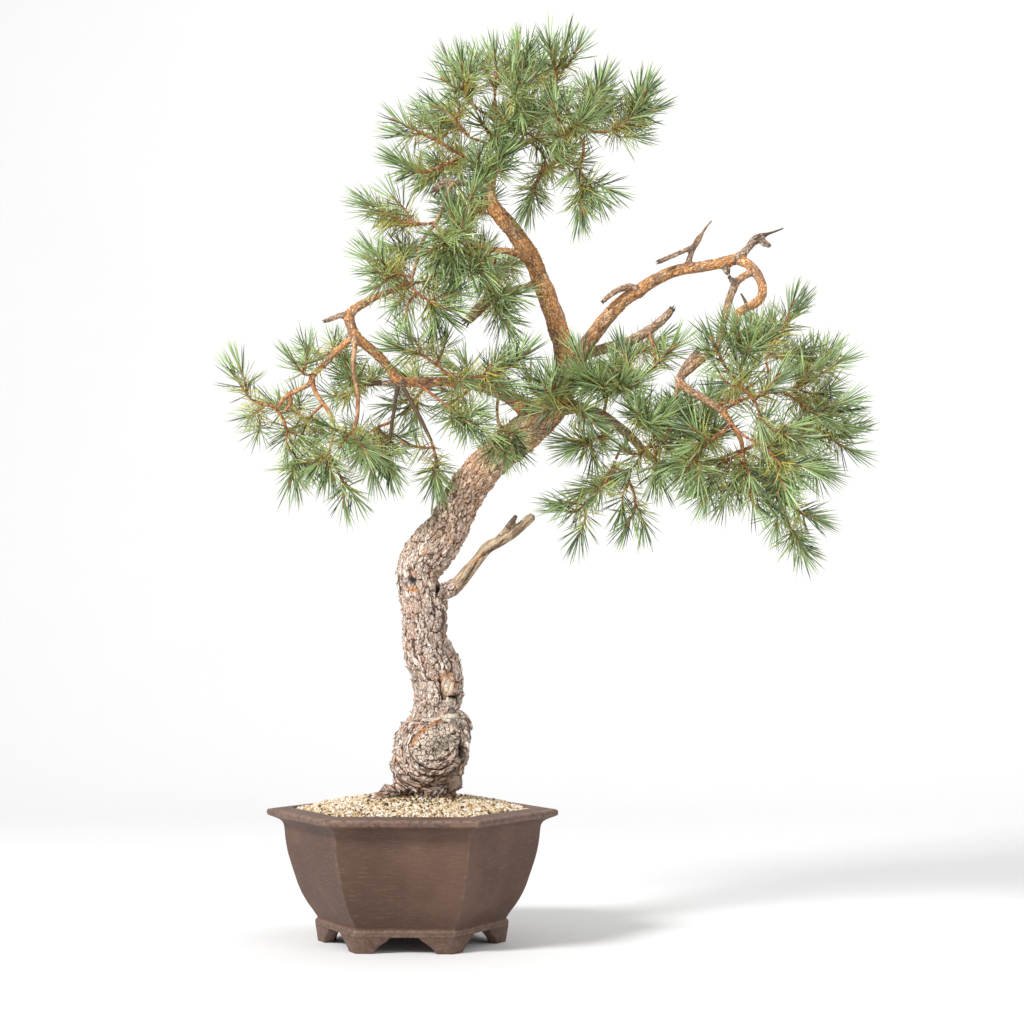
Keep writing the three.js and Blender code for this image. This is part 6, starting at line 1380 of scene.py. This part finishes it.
    "right_far": ([(335, 20, 562), (372, 32, 576), (410, 26, 590), (440, 12, 598), (458, 2, 600)], [
        [(459, 1, 600), (484, -4, 608), (500, -4, 605), (511, -2, 601), (526, 0, 606)],
        [(461, 0, 600), (468, -12, 588), (474, -18, 574), (481, -22, 564), (492, -26, 559)],
        [(470, -2, 603), (476, 24, 614), (484, 52, 624)],
    ]),
    "right_low": ([(356, 34, 556), (390, 16, 556), (420, -4, 547)], [
        [(421, -5, 546), (434, -18, 534), (440, -30, 523), (446, -36, 511), (451, -38, 498),
         (454, -40, 486), (456, -43, 476), (465, -46, 468)],
        [(436, -22, 530), (452, -10, 520), (464, 0, 510), (477, 6, 506)],
        [(426, -10, 542), (434, -44, 540), (438, -78, 534)],
    ]),
    "right_back": ([(312, 5, 566), (332, 32, 590), (350, 56, 612)], [
        [(351, 57, 613), (362, 76, 634), (372, 94, 656)],
        [(354, 62, 619), (336, 82, 628), (318, 100, 640)],
        [(357, 67, 624), (378, 72, 646), (398, 68, 668), (412, 60, 690)],
    ]),
    "right_back_low": ([(358, 35, 556), (376, 56, 570), (392, 72, 580)], [
        [(393, 73, 581), (412, 84, 592), (434, 94, 604)],
        [(396, 75, 583), (402, 96, 566), (408, 114, 550)],
        [(398, 76, 584), (420, 74, 572), (440, 70, 558)],
    ]),
    "crown_inner": ([(100, 6, 962), (96, -12, 966), (94, -26, 970)], [
        [(94, -27, 970), (88, -40, 976), (82, -52, 984)],
        [(94, -27, 970), (104, -42, 972), (114, -56, 980)],
        [(95, -20, 968), (100, -34, 958), (106, -48, 950)],
    ]),
    "crown_inner_right": ([(128, 0, 958), (132, -14, 966), (134, -26, 974)], [
        [(134, -27, 974), (140, -44, 984), (144, -60, 992)],
        [(134, -27, 974), (124, -44, 968), (118, -60, 962)],
        [(134, -24, 974), (150, -34, 964), (164, -44, 956)],
        [(134, -24, 974), (136, -10, 992), (138, 2, 1008)],
    ]),
    "centre_inner": ([(229, 5, 626), (232, -10, 640), (234, -22, 652)], [
        [(234, -23, 652), (222, -36, 662), (210, -50, 672)],
        [(234, -23, 652), (250, -36, 658), (266, -50, 664)],
        [(234, -20, 650), (240, -4, 664), (246, 10, 680)],
    ]),
    "under_inner": ([(280, -5, 583), (288, -16, 598), (292, -26, 610)], [
        [(292, -27, 610), (304, -38, 620), (316, -48, 630)],
        [(292, -27, 610), (280, -40, 620), (268, -52, 630)],
        [(290, -20, 606), (300, -4, 594), (310, 10, 584)],
    ]),
    "right_inner": ([(335, 20, 562), (338, 4, 576), (340, -10, 588)], [
        [(340, -11, 588), (330, -24, 600), (320, -38, 612)],
        [(340, -11, 588), (354, -24, 600), (368, -36, 610)],
        [(340, -8, 586), (352, 8, 596), (364, 24, 608)],
        [(339, -4, 582), (334, -16, 566), (330, -30, 552)],
    ]),
}
NEEDLES = {"length": 46.0, "width": 1.6, "spacing": 1.25, "shapes": 6, "seed": 3}
# Shoots: radius at the tip in metres and size of the bud. Side shoots leave at rings of buds, the first
# this far from the tip, and their length and lean are drawn between two limits.
SHOOTS = {
    "main": (0.0014, 1.7), "side": (0.0010, 0.9), "first_ring": 0.026, "next_ring": (0.026, 0.036),
    "side_length": (0.02, 0.036), "side_lean": (38, 58),
}
COLUMNS = {"reach": 4, "heading": slice(5, 8), "bud": 8, "leafy": 9}  # of a shoot's rows
SIDE_ROOM = 0.036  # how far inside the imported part's box the side shoots end, in metres


def needle_pair(number):
    """Two needles side by side out of one sheath, along Z, in metres; along runs from base to tip."""
    random = np.random.default_rng(200 + number)
    vertices, faces, along, pale = [], [], [], []
    for side in (-1, 1):
        spread, bend, turn = random.uniform(0.06, 0.2), random.uniform(-0.05, 0.12), random.uniform(0, 6.3)
        length = NEEDLES["length"] * MM * random.uniform(0.94, 1.0)
        first = len(vertices)
        for share, width in ((0.0, 0.85), (0.6, 1.0), (1.0, 0.0)):
            apart = side * (0.0004 + spread * share * length)
            centre = np.array([apart, bend * share ** 2 * length, share * length])
            for k in range(1 if width == 0 else 3):
                angle = turn + 2.094 * k
                reach = 0.5 * NEEDLES["width"] * MM * width
                vertices.append(centre + reach * np.array([math.cos(angle), math.sin(angle), 0]))
                along.append(share)
        for k in range(3):
            m = (k + 1) % 3
            low, high = (first + k, first + m), (first + 3 + k, first + 3 + m)
            faces += [(*low, *high[::-1]), (*high, first + 6)]
            pale += [k == 0, k == 0]
    mesh = bpy.data.meshes.new(f"pair_{number}")
    mesh.from_pydata([v.tolist() for v in vertices], [], faces)
    keep_values(mesh, {"along": along})
    # One face of each needle is marked pale: its whitish waxy bloom, and a painted highlight along the
    # needle.
    keep_values(mesh, {"pale": pale}, "FACE")
    return bpy.data.objects.new(f"pair_{number}", mesh)


def shoot_line(points, girth, bud_size):
    """A shoot's rows: x, y, z, thickness, distance to its tip, heading, bud and leafiness."""
    points = curve_through(points, 2.0 * MM)
    steps = np.linalg.norm(np.diff(points, axis=0), axis=1)
    heading = unit(np.gradient(points, axis=0))
    tip = points[-1] + heading[-1] * np.array([[0.002], [0.0045], [0.007]]) * bud_size
    reach = np.concatenate([np.cumsum(steps[::-1])[::-1], [0]])
    thickness = girth + reach / 0.09 * 0.0008
    rows = np.column_stack([points, thickness, reach, heading, np.zeros(len(points)), np.ones(len(points))])
    none = [0, 0, 0]
    bud = np.column_stack([
        tip, [0.002, 0.0019, 0.0004], none, np.repeat(heading[-1:], 3, 0), [1, 1, 1], none])
    return np.vstack([rows, bud])


def side_shoots(line, random, room):
    """Shorter shoots that leave a shoot at each year's ring of buds, if there is room for them."""
    made = []
    rows = line[line[:, COLUMNS["bud"]] == 0]
    reach = rows[:, COLUMNS["reach"]]
    total = reach[0]
    at, turn = SHOOTS["first_ring"], random.uniform(0, 6.28)
    while at < total - 0.008:
        row = rows[np.argmin(np.abs(reach - at))]
        heading = row[COLUMNS["heading"]]
        side = unit(np.cross(heading, (0.3, 0.2, 1.0)))
        up = np.cross(side, heading)
        for _ in range(random.integers(1, 3)):
            turn += 2.4
            out = side * math.cos(turn) + up * math.sin(turn)
            lean = math.radians(random.uniform(*SHOOTS["side_lean"]))
            way = unit(heading * math.cos(lean) + out * math.sin(lean))
            length = random.uniform(*SHOOTS["side_length"])
            middle = row[:3] + way * length * 0.5
            end = row[:3] + unit(way + heading * 0.35 + np.array([0, 0, 0.12])) * length
            if np.all(end > room[0]) and np.all(end < room[1]):
                made.append(shoot_line(np.array([row[:3], middle, end]), *SHOOTS["side"]))
        at += random.uniform(*SHOOTS["next_ring"])
    return made


def needle_green(tree):
    age, shade, along = stored(tree, "age"), stored(tree, "shade"), stored(tree, "along")
    young = mixed(tree, shade, "183020", "a9c57e")
    old = mixed(tree, shade, "383c10", "d8cb58")
    base = mixed(tree, age, young, old)
    # Paler face: the needle's waxy bloom, and a painted highlight line along it.
    base = mixed(tree, times(tree, stored(tree, "pale"), 0.4), base, "cbdcae")
    base = mixed(tree, ease(tree, along, 0.14, 0.0, 0, 0.7), base, "b59c6c")
    return mixed(tree, ease(tree, along, 0.75, 1.0, 0, 0.6), base, "c6cb5c"), None, None


def stem_bark(tree):
    where = place(tree)
    base = mixed(tree, ease(tree, noise(tree, where, 240, 3), 0.4, 0.6), "7c4a33", "bd8460")
    return mixed(tree, stored(tree, "bud"), base, "b27f5c"), noise(tree, where, 700, 2), 0.0005


spray_tree, socket = node_group("needle_spray", {
    "Spacing": ("Float", 0.0), "Young scale": ("Float", 1.0), "Old scale": ("Float", 0.45),
    "Seed": ("Int", 0), "Pairs": ("Collection", None), "Stem": ("Material", None),
    "Needle": ("Material", None),
})
line, stems = round_stems(spray_tree, socket["Geometry"], 6)
stems = real_with(spray_tree, stems, socket["Stem"])
points = node(spray_tree, "GeometryNodeCurveToPoints", {"Curve": line, "Length": socket["Spacing"]},
              mode="LENGTH").outputs[0]
value = {key: from_mesh(spray_tree, key) for key in ("reach", "leafy")}
value["heading"] = from_mesh(spray_tree, "heading", "FLOAT_VECTOR")


def chance(low, high, salt):
    """A random number for each point of a spray, from the spray's own seed."""
    return random_between(spray_tree, low, high, plus(spray_tree, socket["Seed"], salt))


index = node(spray_tree, "GeometryNodeInputIndex").outputs[0]
spin = plus(spray_tree, times(spray_tree, index, 2.39996), chance(-0.5, 0.5, 1.0))
lean = ease(spray_tree, value["reach"], 0.0, 0.016, 0.2, 1.05)
lean = plus(spray_tree, lean, chance(-0.25, 0.3, 2.0))
aligned = node(spray_tree, "FunctionNodeAlignRotationToVector", {"Vector": value["heading"]}, axis="Z")
aligned = turned(spray_tree, aligned.outputs[0], "Z", spin)
aligned = turned(spray_tree, aligned, "X", lean)
scale = node(spray_tree, "ShaderNodeMapRange", {
    0: value["reach"], 1: 0.004, 2: 0.05, 3: socket["Young scale"], 4: socket["Old scale"]}).outputs[0]
scale = times(spray_tree, scale, chance(0.8, 1.0, 3.0))
thinning = ease(spray_tree, value["reach"], 0.014, 0.03, 0.95, 0.8)
keep = node(spray_tree, "FunctionNodeCompare", {
    0: chance(0.0, 1.0, 4.0), 1: times(spray_tree, value["leafy"], thinning)},
    data_type="FLOAT", operation="LESS_THAN").outputs[0]
needles = copied_to(spray_tree, points, socket["Pairs"], aligned, scale, keep)
age = ease(spray_tree, value["reach"], 0.01, 0.03)
for key, number in (("shade", chance(0.0, 1.0, 5.0)), ("age", age)):
    needles = marked(spray_tree, needles, key, number)
both = node(spray_tree, "GeometryNodeJoinGeometry").inputs[0]
for part in (real_with(spray_tree, needles, socket["Needle"]), stems):
    spray_tree.links.new(part, both)
node(spray_tree, "NodeGroupOutput", {0: both.node.outputs[0]})

pairs = family("pairs", [needle_pair(k) for k in range(NEEDLES["shapes"])])
needle_finish = finish_of("needle_green", needle_green, roughness=0.5, specular=0.35)
stem_finish = finish_of("stem_bark", stem_bark, roughness=0.75)
room = (np.array(packed_bounds[0]) + SIDE_ROOM, np.array(packed_bounds[1]) - SIDE_ROOM)
for number, (name, (start, shoots)) in enumerate(SPRAYS.items()):
    random = np.random.default_rng(NEEDLES["seed"] * 1000 + number)
    lines = []
    if not isinstance(start, str):
        twig = curve_through(placed(np.array(start, float)), 2.5 * MM)
        heading = unit(np.gradient(twig, axis=0))
        plain, thickness = np.zeros(len(twig)), np.linspace(0.0021, 0.0016, len(twig))
        lines.append(np.column_stack([twig, thickness, plain + 0.1, heading, plain, plain]))
    for shoot in shoots:
        line = shoot_line(placed(np.array(shoot, float)), *SHOOTS["main"])
        lines.append(line)
        lines += side_shoots(line, random, room)
    sparser = 1.12 if name.startswith("left") else 1.0
    carrier = line_piece("spray_lines", lines, COLUMNS)
    spray = grown_by(spray_tree, carrier, "spray_" + name, {
        "Spacing": NEEDLES["spacing"] * sparser * MM, "Seed": number * 20, "Pairs": pairs,
        "Stem": stem_finish, "Needle": needle_finish})
    bpy.data.objects.remove(carrier)
    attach(spray, "root")
    if "inner" not in name:
        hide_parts("needles_" + name)


# Stage: a pale floor that curves up into a backdrop, a soft key light from the upper left, a weaker
# fill from the right and a light on the backdrop, in an even white surround.
COVE = {"front": -4.0, "bend": 1.6, "radius": 1.4, "top": 6.0, "half_width": 7}
SURROUND = 0.57


def backdrop_paper(tree):
    return mixed(tree, noise(tree, place(tree), 3, 2), "e1e1e1", "e3e3e3"), None, None


def area_light(name, position, target, size, power):
    """A round lamp that points at a target."""
    data = bpy.data.lights.new(name, "AREA")
    data.shape, data.size, data.energy = "DISK", size, power
    light = linked(name, data)
    light.location = position
    direction = np.array(target) - np.array(position)
    light.rotation_euler = (math.atan2(math.hypot(*direction[:2]), -direction[2]), 0,
                            math.atan2(direction[1], direction[0]) - math.pi / 2)


cove = [(COVE["front"], 0.0), (COVE["bend"], 0.0)]
for angle in np.linspace(0.1, math.pi / 2, 16):
    back, up = COVE["radius"] * math.sin(angle), COVE["radius"] * math.cos(angle)
    cove.append((COVE["bend"] + back, COVE["radius"] - up))
cove.append((COVE["bend"] + COVE["radius"], COVE["top"]))
floor_vertices = [(side * COVE["half_width"], y, z) for y, z in cove for side in (-1, 1)]
floor_faces = [(2 * i, 2 * i + 1, 2 * i + 3, 2 * i + 2) for i in range(len(cove) - 1)]
floor = mesh_piece("floor", floor_vertices, floor_faces)
floor.data.materials.append(finish_of("backdrop_paper", backdrop_paper, roughness=1.0, specular=0.0))

area_light("key", (-2.3, -2.1, 2.5), (0.05, 0, 0.6), 1.0, 160)
area_light("fill", (2.0, -2.4, 1.7), (0.0, 0, 0.5), 1.6, 24)
area_light("backdrop_light", (1.6, 0.9, 3.2), (1.2, 3.0, 0.8), 2.4, 40)
world = bpy.data.worlds.new("surround")
world.use_nodes = True
world.node_tree.nodes["Background"].inputs[0].default_value = (1, 1, 1, 1)
world.node_tree.nodes["Background"].inputs[1].default_value = SURROUND
bpy.context.scene.world = world
